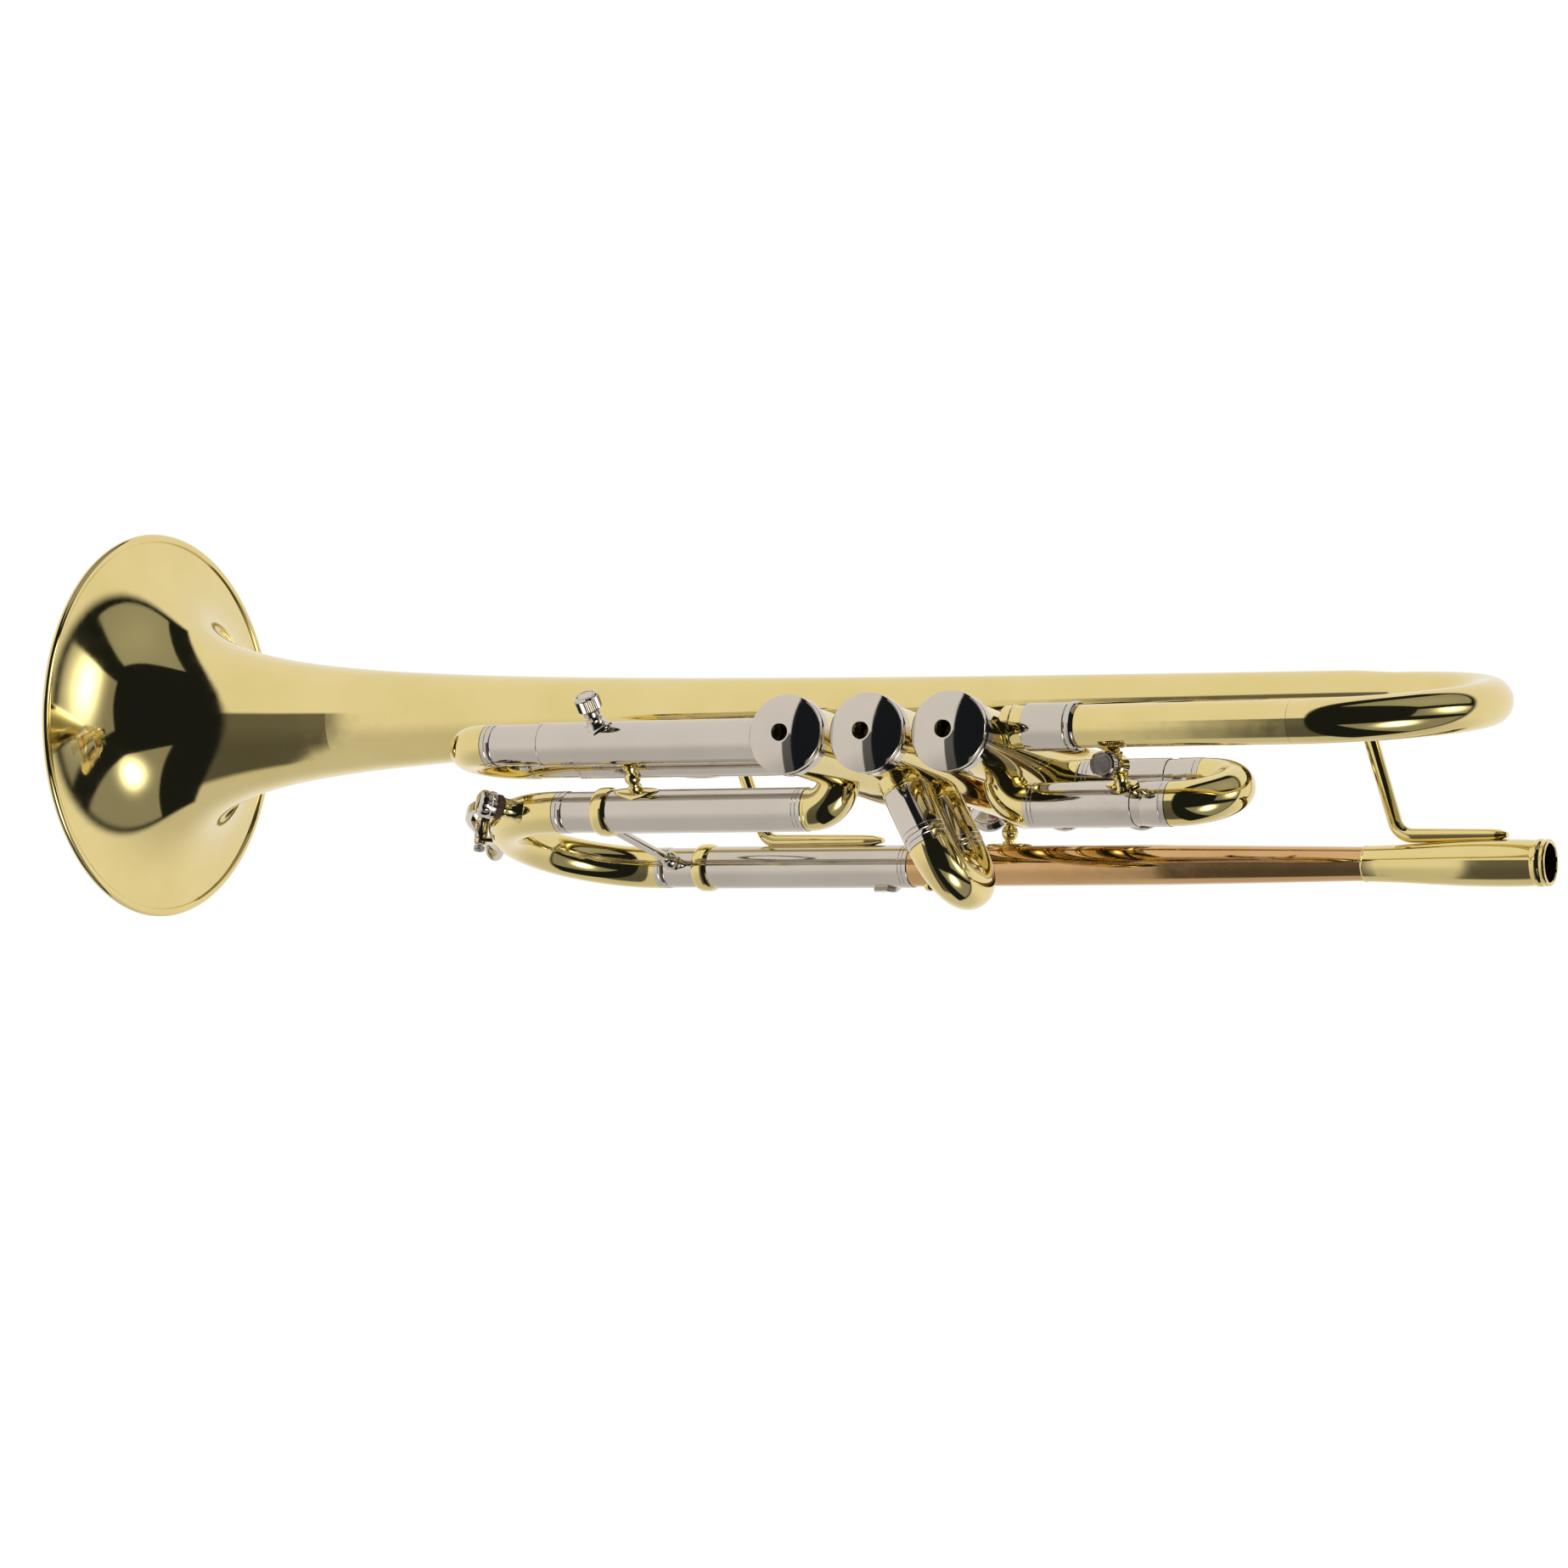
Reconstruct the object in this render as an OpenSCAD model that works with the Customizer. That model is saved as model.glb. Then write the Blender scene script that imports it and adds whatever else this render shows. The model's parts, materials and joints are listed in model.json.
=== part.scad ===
// A piston-valve trumpet in B flat, without its mouthpiece.
// The origin is the centre of the mouthpiece receiver's mouth.
// +X runs along the leadpipe towards the bell, +Y is the player's left, +Z is up.
// Slides are named by their valve; "lower" tubes lie nearer the bottom caps.

/* [Bell] */
// Distance from the receiver's mouth to the plane of the bell rim
bell_rim_x = 483; // [470:1:495]
// Outer radius of the bell rim
bell_rim_r = 63.5; // [58:0.5:65]
// Length constant of the flare: a smaller value flares later
bell_flare = 6; // [5:0.25:8]
// Distance of the bell's axis to the left of the leadpipe
bell_y = 48.8; // [46:0.2:52]
// Wall of the bell
bell_wall = 0.6; // [0.5:0.1:0.8]
// Position of the bell bow's centre along the leadpipe
bow_x = 48.3; // [44:0.1:52]
// Position of the bell tail to the left of the leadpipe
tail_y = 28.1; // [27:0.1:29]
// Height of the bell tail
tail_z = -77.1; // [-78:0.1:-76]
// Outer radius of the bell tail
tail_r = 6.05; // [5.9:0.05:6.3]
// Outer radius of the bell bow
bow_r = 6.7; // [6.4:0.1:7]

/* [Slide tubes] */
// Radius of the air column
bore_r = 5.84; // [5.7:0.02:5.9]
// Outer radius of a slide's inner leg
leg_r = 6.1; // [6.05:0.05:6.15]
// Inner radius of a fixed slide tube
tube_bore_r = 6.15; // [6.14:0.01:6.19]
// Outer radius of a fixed slide tube
tube_r = 6.45; // [6.4:0.05:6.6]
// Outer radius of a slide's crook
crook_r = 6.3; // [6.2:0.05:6.4]

/* [Leadpipe] */
// Length of the mouthpiece receiver
receiver_len = 55; // [45:1:60]
// Radius at the mouth of the receiver's socket
socket_r = 5.5; // [5.4:0.05:5.6]
// Outer radius of the leadpipe at the receiver
leadpipe_r1 = 4.5; // [4.4:0.05:4.6]
// Outer radius of the leadpipe where its steeper taper ends
leadpipe_mid_r = 5.85; // [5.7:0.05:5.9]
// Outer radius of the leadpipe at the main slide
leadpipe_r2 = 6.1; // [6:0.05:6.1]

/* [Main slide] */
// Start of the fixed tubes
main_x0 = 202.5; // [201:0.5:204]
// End of the fixed tubes
main_x1 = 267.5; // [262:0.5:268]
// Start of the crook
main_crook_x = 286; // [284:0.5:290]
// Lower tube, to the left of the leadpipe
main_low_y = 7.9; // [7.5:0.1:8.5]
// Lower tube, height
main_low_z = -63.1; // [-64:0.1:-62]

/* [Valves] */
// Position of the first valve along the leadpipe
valve1_x = 142.2; // [142:0.1:142.4]
// Distance between neighbouring valves
valve_pitch = 25.6; // [25.4:0.1:25.8]
// Position of the valves to the left of the leadpipe
valve_y = 24.1; // [23.8:0.1:24.4]
// Outer radius of a casing
casing_r = 10.2; // [10:0.1:10.3]
// Radius of a casing's bore
casing_bore_r = 8.33; // [8.33:0.01:8.36]
// Radius of a piston
piston_r = 8.3; // [8.28:0.01:8.3]
// Lower end of a casing
casing_z0 = -95.5; // [-96:0.5:-95]
// Upper end of a casing
casing_z1 = 12; // [11:0.5:12]
// Travel of a piston
valve_travel = 16; // [14:0.5:16]
// Outer radius of a bottom cap
bottom_cap_r = 11.4; // [11.2:0.1:11.6]
// Radius of the vent in a bottom cap
vent_r = 2.5; // [2:0.1:3]
// Radius of a finger button
button_r = 8; // [7:0.5:8.5]

/* [First slide] */
// Lower tube, to the left of the leadpipe
first_low_y = 8.7; // [8.6:0.1:8.9]
// Lower tube, height
first_low_z = -59.9; // [-60.2:0.1:-59.6]
// Upper tube, to the left of the leadpipe
first_up_y = 19; // [18.6:0.1:19.4]
// Upper tube, height
first_up_z = -37; // [-37.4:0.1:-36.6]
// Start of the crook
first_crook_x = 90.2; // [90:0.1:92]

/* [Second slide] */
// Angle of the slide from the player's right towards the mouthpiece
second_turn = 30; // [29:0.5:31]
// Sideways shift of the slide from the valve's axis
second_shift = 4.6; // [4.4:0.1:4.8]
// Height of the lower tube
second_low_z = -76; // [-76.2:0.1:-75.8]
// Height of the upper tube
second_up_z = -52; // [-52.2:0.1:-51.8]
// Distance from the valve's axis to the crook
second_crook_x = 30.7; // [30.2:0.1:32]

/* [Third slide] */
// Position of the tubes to the left of the leadpipe
third_y = 26.4; // [26.2:0.1:26.6]
// Height of the lower tube
third_low_z = -75.3; // [-75.5:0.1:-75.1]
// Height of the upper tube
third_up_z = -51.5; // [-51.7:0.1:-51.3]
// End of the fixed tubes
third_x1 = 286.6; // [284:0.2:288]
// Start of the crook
third_crook_x = 305; // [304:0.5:307]

/* [Hidden] */
$fn = 64;

valve_xs = [valve1_x, valve1_x + valve_pitch, valve1_x + 2 * valve_pitch];
seam = 0.02;      // gap left where one tube's end is cut to fit another
gold = "#d9bd62";
nickel = "#c9c3b8";
rose = "#cf9a62";

// ---- Bell profile -------------------------------------------------------
bell_tube_x = 62;          // where the bell leaves the tapered joint with the bow
bell_steps = 26;
stem_step = 16;            // step at which the flare is brazed onto the stem
bead_r = 1.5;              // round bead that stiffens the rim
// Outer radius of the bell at distance d behind the rim
function bell_r(d) = bell_rim_r * sqrt(bell_flare / (bell_flare + d));
// Distance behind the rim at which the bell has radius r
function bell_d(r) = bell_flare * (pow(bell_rim_r / r, 2) - 1);
bell_d_end = bell_rim_x - bell_tube_x;
bell_ratio = bell_r(bell_d_end) / bell_rim_r;
function bell_out(i) =
    let(r = bell_rim_r * pow(bell_ratio, i / bell_steps))
    [r, bell_rim_x - bead_r - bell_d(r)];
function bell_in(i) =
    let(
        p = bell_out(i),
        s = p[0] / (2 * (bell_flare + bell_rim_x - bead_r - p[1])),
        n = sqrt(1 + s * s)
    )
    [p[0] - bell_wall / n, p[1] + bell_wall * s / n];

// ---- Shared shapes -------------------------------------------------------
module along_x(x, y, z) {
    translate([x, y, z]) rotate([0, 90, 0]) children();
}

module tube(x0, x1, y, z, r_out, r_in) {
    along_x(x0, y, z) difference() {
        cylinder(r = r_out, h = x1 - x0);
        translate([0, 0, -1]) cylinder(r = r_in, h = x1 - x0 + 2);
    }
}

// Tapered tube along Z with an even wall
module cone_tube(r0, r1, h, wall) {
    difference() {
        cylinder(r1 = r0, r2 = r1, h = h);
        translate([0, 0, -0.01]) cylinder(r1 = r0 - wall, r2 = r1 - wall, h = h + 0.02);
    }
}

module rod(x0, x1, y, z, r) {
    along_x(x0, y, z) cylinder(r = r, h = x1 - x0);
}

// Half ring that joins two tubes along X; a and b are their [y, z]
module u_bend(x, a, b, r_out, r_in) {
    span = norm(b - a);
    translate([x, (a[0] + b[0]) / 2, (a[1] + b[1]) / 2])
        rotate([atan2(b[1] - a[1], b[0] - a[0]), 0, 0])
        rotate([0, 0, -90])
        rotate_extrude(angle = 180)
        translate([span / 2, 0])
        difference() {
            circle(r = r_out);
            circle(r = r_in);
        }
}

// Stands an object's +Z along the direction dir, starting at the point at
module aim(at, dir) {
    translate(at)
        rotate([0, acos(dir[2] / norm(dir)), atan2(dir[1], dir[0])])
        children();
}

module valve_column(i, r, z0 = -120, z1 = 60) {
    translate([valve_xs[i], valve_y, z0]) cylinder(r = r, h = z1 - z0);
}

module second_frame() {
    translate([valve_xs[1], valve_y, 0])
        rotate([0, 0, 270 - second_turn])
        translate([0, second_shift, 0])
        children();
}

// Turned post: a ball between two collars
module baluster(h, waist_r = 1.5, ball_r = 2.6) {
    cylinder(r = waist_r, h = h);
    translate([0, 0, h / 2]) sphere(r = ball_r);
    translate([0, 0, h / 2 - ball_r - 0.9]) cylinder(r = waist_r + 0.6, h = 0.8);
    translate([0, 0, h / 2 + ball_r + 0.1]) cylinder(r = waist_r + 0.6, h = 0.8);
}

// Diamond plate wrapped on a tube along X, on the side that faces angle turn
module diamond_flange(x, y, z, r, turn, len = 15, wide = 7, thick = 0.7) {
    translate([x, y, z]) rotate([turn, 0, 0]) intersection() {
        rotate([0, 90, 0]) difference() {
            cylinder(r = r + thick, h = len + 2, center = true);
            cylinder(r = r + seam, h = len + 4, center = true);
        }
        linear_extrude(height = r + thick + 1)
            polygon([[-len / 2, 0], [0, -wide / 2], [len / 2, 0], [0, wide / 2]]);
    }
}

screw_r = 1.5;
module thumb_screw(head_r = 3.7, head_h = 4.6, stem = 7) {
    cylinder(r = screw_r, h = stem + 0.5);
    translate([0, 0, stem - 2]) cylinder(r = 2.6, h = 2.2);
    translate([0, 0, stem]) difference() {
        cylinder(r = head_r, h = head_h);
        translate([0, 0, head_h - 0.35]) difference() {
            cylinder(r = head_r - 0.9, h = 1);
            translate([0, 0, -1]) cylinder(r = head_r - 1.4, h = 3);
        }
    }
}

// ---- Bell -----------------------------------------------------------------
module horn(first, last) {
    rotate_extrude($fn = 96) polygon(concat(
        [for (i = [first : last]) bell_out(i)],
        [for (i = [last : -1 : first]) bell_in(i)]));
}

module bell() {
    color(gold) along_x(0, bell_y, 0) union() {
        horn(0, stem_step);
        translate([0, 0, bell_rim_x - bead_r])
            rotate_extrude($fn = 96) translate([bell_rim_r - bead_r, 0]) circle(r = bead_r, $fn = 32);
    }
}

module bell_stem() {
    color(gold) along_x(0, bell_y, 0) union() {
        horn(stem_step, bell_steps);
        translate([0, 0, bow_x])
            cone_tube(bow_r, bell_r(bell_d_end + bead_r), bell_tube_x - bow_x, bell_wall);
    }
}

module bell_bow() {
    color(gold) mirror([1, 0, 0])
        u_bend(-bow_x, [tail_y, tail_z], [bell_y, 0], bow_r, bow_r - bell_wall);
}

tail_x1 = 114;             // end of the bell tail
ferrule_x1 = 127.2;        // end of the ferrule that joins it to the knuckle
ferrule_r = 6.75;
knuckle_r = 6.2;           // outer radius of the short tubes at the casings
module bell_tail() {
    cone = 16;
    color(gold) {
        tube(bow_x + cone, tail_x1, tail_y, tail_z, tail_r, tail_r - bell_wall);
        along_x(bow_x, tail_y, tail_z) cone_tube(bow_r, tail_r, cone, bell_wall);
    }
}

module bell_ferrule() {
    color(nickel) {
        tube(tail_x1, ferrule_x1, tail_y, tail_z, ferrule_r, bore_r - 0.4);
        tube(tail_x1 - 2.6, tail_x1, tail_y, tail_z, ferrule_r + 0.3, tail_r + seam);
    }
}

module bell_knuckle() {
    color(gold) difference() {
        tube(ferrule_x1, valve1_x, tail_y, tail_z, knuckle_r, bore_r - 0.4);
        valve_column(0, casing_r + seam);
    }
}

// ---- Valves ----------------------------------------------------------------
port_r = 4.6;              // port in a casing
port_len = 14;
guide_z = -29.3;           // underside of the valve guide
piston_z0 = -81.5;         // lower end of a piston
barrel_z0 = -31;           // floor of the spring barrel
barrel_z1 = 9.5;           // top of the spring barrel
cross_12_z = -66;          // tube between the first and second casings
cross_23_z = -58;          // tube between the second and third casings
guide_slot_w = 2.4;
guide_slot_len = 18.4;
guide_rise = 10;           // the slots run this far past the casing's top

// Drill for a port of valve i that opens along X, forwards for side 1 and backwards for -1
module port_x(i, y, z, side) {
    translate([valve_xs[i], y, z]) rotate([0, 90 * side, 0]) cylinder(r = port_r, h = port_len);
}

// Drill for a port of valve i that opens to the player's right
module port_right(i, z) {
    translate([valve_xs[i], valve_y, z]) rotate([90, 0, 0]) cylinder(r = port_r, h = port_len);
}

module casing_blank(i) {
    difference() {
        valve_column(i, casing_r, casing_z0, casing_z1);
        valve_column(i, casing_bore_r);
        translate([valve_xs[i], valve_y, (guide_z + casing_z1 + guide_rise) / 2])
            cube([guide_slot_len, guide_slot_w, casing_z1 - guide_z + guide_rise], center = true);
    }
}

module casing_1() {
    color(gold) difference() {
        casing_blank(0);
        port_x(0, tail_y, tail_z, -1);
        port_x(0, first_up_y, first_up_z, -1);
        port_x(0, valve_y, cross_12_z, 1);
        port_right(0, first_low_z);
    }
}

module casing_2() {
    color(gold) difference() {
        casing_blank(1);
        port_x(1, valve_y, cross_12_z, -1);
        port_x(1, valve_y, cross_23_z, 1);
        second_frame() for (z = [second_low_z, second_up_z]) rod(0, port_len, 0, z, port_r - 1);
    }
}

module casing_3() {
    color(gold) difference() {
        casing_blank(2);
        port_x(2, valve_y, cross_23_z, -1);
        port_x(2, third_y, third_low_z, 1);
        port_x(2, third_y, third_up_z, 1);
        port_right(2, main_low_z);
    }
}

cap_rim_z = -98.2;         // edge of a bottom cap's domed face
cap_dome = 3;              // height of the dome
cap_h = 6.7;
cap_dome_r = (pow(bottom_cap_r - 0.5, 2) + pow(cap_dome, 2)) / (2 * cap_dome);
// Point of the cap's domed face at radius r
function dome_point(r) = [r, cap_rim_z + cap_dome_r - cap_dome - sqrt(pow(cap_dome_r, 2) - r * r)];

module bottom_cap() {
    rotate_extrude() polygon(concat(
        [for (k = [0 : 8]) dome_point(vent_r + (bottom_cap_r - 0.5 - vent_r) * k / 8)],
        [
            [bottom_cap_r, cap_rim_z + 0.5], [bottom_cap_r, cap_rim_z + 2],
            [bottom_cap_r - 0.4, cap_rim_z + 2.4], [bottom_cap_r - 0.4, cap_rim_z + cap_h],
            [casing_r + seam, cap_rim_z + cap_h], [casing_r + seam, casing_z0 - seam],
            [casing_bore_r + 0.3, casing_z0 - seam], [casing_bore_r + 0.3, cap_rim_z - 0.6],
            [vent_r, cap_rim_z - 1.6]
        ]));
}

module bottom_caps() {
    color(nickel) for (x = valve_xs) translate([x, valve_y, 0]) bottom_cap();
}

top_cap_z = 18.1;          // top of a top cap's neck
top_cap_z0 = 6;            // lower edge of its skirt
top_cap_r = 11.2;
neck_r = 7;
stem_r = 2.5;
module top_cap() {
    rotate_extrude() polygon([
        [stem_r + 0.1, casing_z1 + 0.6], [casing_bore_r, casing_z1 + 0.6],
        [casing_bore_r, casing_z1 + seam], [casing_r + seam, casing_z1 + seam],
        [casing_r + seam, top_cap_z0], [top_cap_r, top_cap_z0], [top_cap_r, casing_z1 + 0.2],
        [top_cap_r - 0.6, casing_z1 + 1], [neck_r + 1.2, casing_z1 + 2], [neck_r, casing_z1 + 3.4],
        [neck_r, top_cap_z], [stem_r + 0.1, top_cap_z]
    ]);
}

module top_caps() {
    color(nickel) for (x = valve_xs) translate([x, valve_y, 0]) top_cap();
}

felt_h = 1.5;
module felt_ring(z, r, h) {
    translate([0, 0, z]) difference() {
        cylinder(r = r, h = h);
        translate([0, 0, -1]) cylinder(r = stem_r + 0.4, h = h + 2);
    }
}

module valve_felts() {
    color("#7a2230") for (x = valve_xs) translate([x, valve_y, 0]) {
        felt_ring(top_cap_z, 6.4, felt_h);
        felt_ring(casing_z1 - 1.9, 7.6, 2.5);
    }
}

guide_h = 1.8;
guide_bar = 2;             // width of the bar that runs in the slots
module valve_guides() {
    color(gold) for (x = valve_xs) translate([x, valve_y, guide_z]) difference() {
        union() {
            cylinder(r = 6.3, h = guide_h);
            translate([-9, -guide_bar / 2, 0]) cube([18, guide_bar, guide_h]);
        }
        translate([0, 0, -1]) cylinder(r = 3, h = guide_h + 2);
    }
}

// Height and direction of each cross passage in a piston
passages = [[-74, 0], [-60.5, 90], [-43, 0]];
barrel_r = 6.8;            // inner radius of the spring barrel
module passage_rods(r) {
    for (p = passages)
        translate([0, 0, p[0]]) rotate([90, 0, p[1]]) cylinder(r = r, h = 24, center = true);
}

module piston(i) {
    body_h = barrel_z0 - piston_z0;
    translate([valve_xs[i], valve_y, 0]) {
        difference() {
            union() {
                difference() {
                    translate([0, 0, piston_z0]) cylinder(r = piston_r, h = body_h);
                    translate([0, 0, piston_z0 - 1]) cylinder(r = piston_r - 0.8, h = body_h - 0.8);
                }
                intersection() {
                    passage_rods(port_r + 0.8);
                    translate([0, 0, piston_z0]) cylinder(r = piston_r - 0.4, h = body_h - 2);
                }
            }
            passage_rods(port_r);
        }
        difference() {
            translate([0, 0, barrel_z0 - 0.4]) cylinder(r = piston_r, h = barrel_z1 - barrel_z0 + 0.4);
            translate([0, 0, barrel_z0]) cylinder(r = barrel_r, h = barrel_z1 - barrel_z0 - 1.5);
            translate([0, 0, barrel_z1 - 2]) cylinder(r = stem_r - 0.6, h = 4);
            translate([-10, -guide_bar / 2 - 0.3, guide_z - 0.5])
                cube([20, guide_bar + 0.6, valve_travel + guide_h + 1]);
        }
    }
}

module piston_1() { color("#a9a6a0") piston(0); }
module piston_2() { color("#a9a6a0") piston(1); }
module piston_3() { color("#a9a6a0") piston(2); }

button_z = top_cap_z + felt_h + valve_travel + 0.3;
button_h = 4;
pearl_r = button_r - 1.52;
pearl_z = button_z + button_h - 1.5;
module button(i) {
    translate([valve_xs[i], valve_y, 0]) {
        color(nickel) difference() {
            union() {
                translate([0, 0, barrel_z1]) cylinder(r = stem_r, h = button_z - barrel_z1 + 1);
                translate([0, 0, barrel_z1 - 1.5]) cylinder(r = stem_r - 0.62, h = 2);
                translate([0, 0, button_z]) rotate_extrude() polygon([
                    [0, 0], [button_r - 2, 0], [button_r - 0.4, 1.4], [button_r, 2.4],
                    [button_r - 0.3, button_h], [0, button_h]
                ]);
            }
            translate([0, 0, pearl_z]) cylinder(r = pearl_r + seam, h = 3);
        }
        color("#f2efe8") translate([0, 0, pearl_z + seam]) cylinder(r = pearl_r, h = 1.7);
    }
}

module button_1() { button(0); }
module button_2() { button(1); }
module button_3() { button(2); }

// Coil spring between the guide and the top of the spring barrel
spring_z0 = guide_z + 1.9;
spring_h = barrel_z1 - 1.6 - spring_z0;
spring_r = 5;
wire_r = 0.45;
coils = 8;
coil_steps = 14;
wire_sides = 6;
spring_rings = coils * coil_steps;
module spring(i) {
    points = [
        for (k = [0 : spring_rings], s = [0 : wire_sides - 1])
            let(
                turn = 360 * k / coil_steps,
                tilt = 360 * s / wire_sides,
                r = spring_r + wire_r * cos(tilt),
                rise = (spring_h - 2 * wire_r) * k / spring_rings
            )
            [r * cos(turn), r * sin(turn), wire_r + rise + wire_r * sin(tilt)]
    ];
    faces = concat(
        [[for (s = [0 : wire_sides - 1]) s]],
        [
            for (k = [0 : spring_rings - 1], s = [0 : wire_sides - 1])
                let(a = k * wire_sides + s, b = k * wire_sides + (s + 1) % wire_sides)
                [a, a + wire_sides, b + wire_sides, b]
        ],
        [[for (s = [wire_sides - 1 : -1 : 0]) spring_rings * wire_sides + s]]
    );
    translate([valve_xs[i], valve_y, spring_z0]) polyhedron(points, faces, convexity = 10);
}

module spring_1() { color("#b8b4aa") spring(0); }
module spring_2() { color("#b8b4aa") spring(1); }
module spring_3() { color("#b8b4aa") spring(2); }

// ---- Short brass tubes between casings and slides ----------------------------
first_tube_x0 = 133;
first_tube_x1 = 100.5;
third_tube_x0 = 207;
second_tube_x0 = 13;
second_tube_x1 = 27.5;
module port_knuckles() {
    color(gold) {
        difference() {
            tube(valve_xs[0], valve_xs[1], valve_y, cross_12_z, knuckle_r - 0.3, port_r);
            valve_column(0, casing_r + seam);
            valve_column(1, casing_r + seam);
        }
        difference() {
            tube(valve_xs[1], valve_xs[2], valve_y, cross_23_z, knuckle_r - 0.3, port_r);
            valve_column(1, casing_r + seam);
            valve_column(2, casing_r + seam);
        }
        for (z = [third_low_z, third_up_z]) difference() {
            tube(valve_xs[2] + 4, third_tube_x0, third_y, z, knuckle_r, port_r);
            valve_column(2, casing_r + seam);
        }
        for (z = [second_low_z, second_up_z]) difference() {
            second_frame() tube(2, second_tube_x0, 0, z, knuckle_r, port_r);
            valve_column(1, casing_r + seam);
        }
        difference() {
            tube(first_tube_x0 - 6, valve_xs[0] - 4, first_up_y, first_up_z, knuckle_r, port_r);
            valve_column(0, casing_r + seam);
        }
    }
}

// ---- Leadpipe and receiver ---------------------------------------------------
leadpipe_x0 = 30;          // start of the leadpipe, inside the receiver
leadpipe_x1 = 200;         // its end, inside the main slide's upper tube
leadpipe_mid_x = 117;      // where its steeper taper ends
leadpipe_slope = (leadpipe_mid_r - leadpipe_r1) / (leadpipe_mid_x - leadpipe_x0);
module leadpipe() {
    color(rose) rotate([0, 90, 0]) rotate_extrude() polygon([
        [leadpipe_r1, leadpipe_x0], [leadpipe_mid_r, leadpipe_mid_x], [leadpipe_r2, leadpipe_x1],
        [leadpipe_r2 - 0.5, leadpipe_x1], [leadpipe_mid_r - 0.6, leadpipe_mid_x],
        [leadpipe_r1 - 0.8, leadpipe_x0]
    ]);
}

land = 6;                  // straight stretch at the mouth of the socket
socket_end_r = 4.2;        // lip that the leadpipe's end meets
module mouthpiece_receiver() {
    color(gold) rotate([0, 90, 0]) rotate_extrude() polygon([
        [socket_r, 0], [6.5, 0], [6.7, 0.4], [6.7, 1.4], [6.5, 1.7], [6.8, 2.1], [6.8, 3.8], [6.6, 4.2],
        [6.7, 13], [6.45, 27], [6.05, 35], [5.5, 44], [5.15, receiver_len],
        [leadpipe_r1 + seam + leadpipe_slope * (receiver_len - leadpipe_x0), receiver_len],
        [leadpipe_r1 + seam, leadpipe_x0], [socket_end_r, leadpipe_x0], [socket_end_r, leadpipe_x0 - 2],
        [4.95, leadpipe_x0 - 3], [socket_r, land]
    ]);
}

// ---- Fixed slide tubes ---------------------------------------------------------
ring_len = 4.8;            // ring at the open end of a fixed tube
module main_tube_upper() {
    color(nickel) difference() {
        tube(main_x0 - 3.6, main_x1, 0, 0, tube_r, tube_bore_r);
        along_x(leadpipe_x1 - 6, 0, 0) cylinder(r = leadpipe_r2 + seam, h = 6);
    }
}

module main_tube_lower() {
    color(nickel) tube(main_x0, main_x1, main_low_y, main_low_z, tube_r, tube_bore_r);
}

module tube_rings() {
    color(gold) for (p = [[0, 0], [main_low_y, main_low_z]])
        tube(main_x1, main_x1 + ring_len, p[0], p[1], 7.3, tube_bore_r);
}

// Quarter ring in a level plane about the point at, starting at angle turn
module elbow(at, r, turn) {
    translate(at) rotate([0, 0, turn]) rotate_extrude(angle = 90) translate([r, 0]) difference() {
        circle(r = knuckle_r);
        circle(r = port_r + 0.6);
    }
}

elbow_r = 8;
module main_elbow() {
    x = valve_xs[2] + elbow_r;
    color(gold) difference() {
        union() {
            elbow([x, main_low_y + elbow_r, main_low_z], elbow_r, 180);
            tube(x, main_x0, main_low_y, main_low_z, knuckle_r, port_r + 0.6);
        }
        valve_column(2, casing_r + seam);
    }
}

first_elbow_r = 9;
module first_elbow() {
    color(gold) difference() {
        elbow([valve_xs[0] - first_elbow_r, first_low_y + first_elbow_r, first_low_z], first_elbow_r, 270);
        valve_column(0, casing_r + seam);
    }
}

module first_tubes() {
    color(nickel) {
        tube(first_tube_x1, valve_xs[0] - first_elbow_r, first_low_y, first_low_z, tube_r, tube_bore_r);
        tube(first_tube_x1, first_tube_x0 - 6, first_up_y, first_up_z, tube_r, tube_bore_r);
    }
}

module second_tubes() {
    color(nickel) second_frame() for (z = [second_low_z, second_up_z])
        tube(second_tube_x0, second_tube_x1, 0, z, tube_r, tube_bore_r);
}

module third_tubes() {
    color(nickel) for (z = [third_low_z, third_up_z])
        tube(third_tube_x0, third_x1, third_y, z, tube_r, tube_bore_r);
}

// ---- Braces and posts ------------------------------------------------------------
brace_r = 2.1;
brace_bend = 6;    // radius of a bend's centre line
bend_r = 2.04;     // slightly slimmer, so that rods and bends join at a crisp step
lap = 0.4;         // length by which a rod enters a bend
// S-shaped brace in the plane z = 0: a foot on each pipe and a slanting rod between
module s_brace(x, y0, y1, foot0, foot1, turn) {
    run = y1 - y0;
    rod_len = (run - 2 * brace_bend * (1 - cos(turn))) / sin(turn);
    reach = 2 * brace_bend * sin(turn) + rod_len * cos(turn);
    translate([x, y0, 0]) {
        rod(-foot0, lap, 0, 0, brace_r);
        translate([0, brace_bend, 0]) rotate([0, 0, -90])
            rotate_extrude(angle = turn) translate([brace_bend, 0]) circle(r = bend_r);
        translate([brace_bend * sin(turn), brace_bend * (1 - cos(turn)), 0]) rotate([0, 0, turn]) {
            rod(-lap, rod_len + lap, 0, 0, brace_r);
            translate([rod_len, -brace_bend, 0]) rotate([0, 0, 90 - turn])
                rotate_extrude(angle = turn) translate([brace_bend, 0]) circle(r = bend_r);
        }
        rod(reach - lap, reach + foot1, run, 0, brace_r);
    }
}

module front_brace() {
    color(gold) difference() {
        s_brace(246, 8, bell_y - 11.6, 36, 30, 66);
        rod(190, main_x1, 0, 0, tube_r + seam);
        along_x(240, bell_y, 0) cylinder(r1 = bell_r(243) + 0.1, r2 = bell_r(173) + 0.1, h = 70);
    }
}

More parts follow.
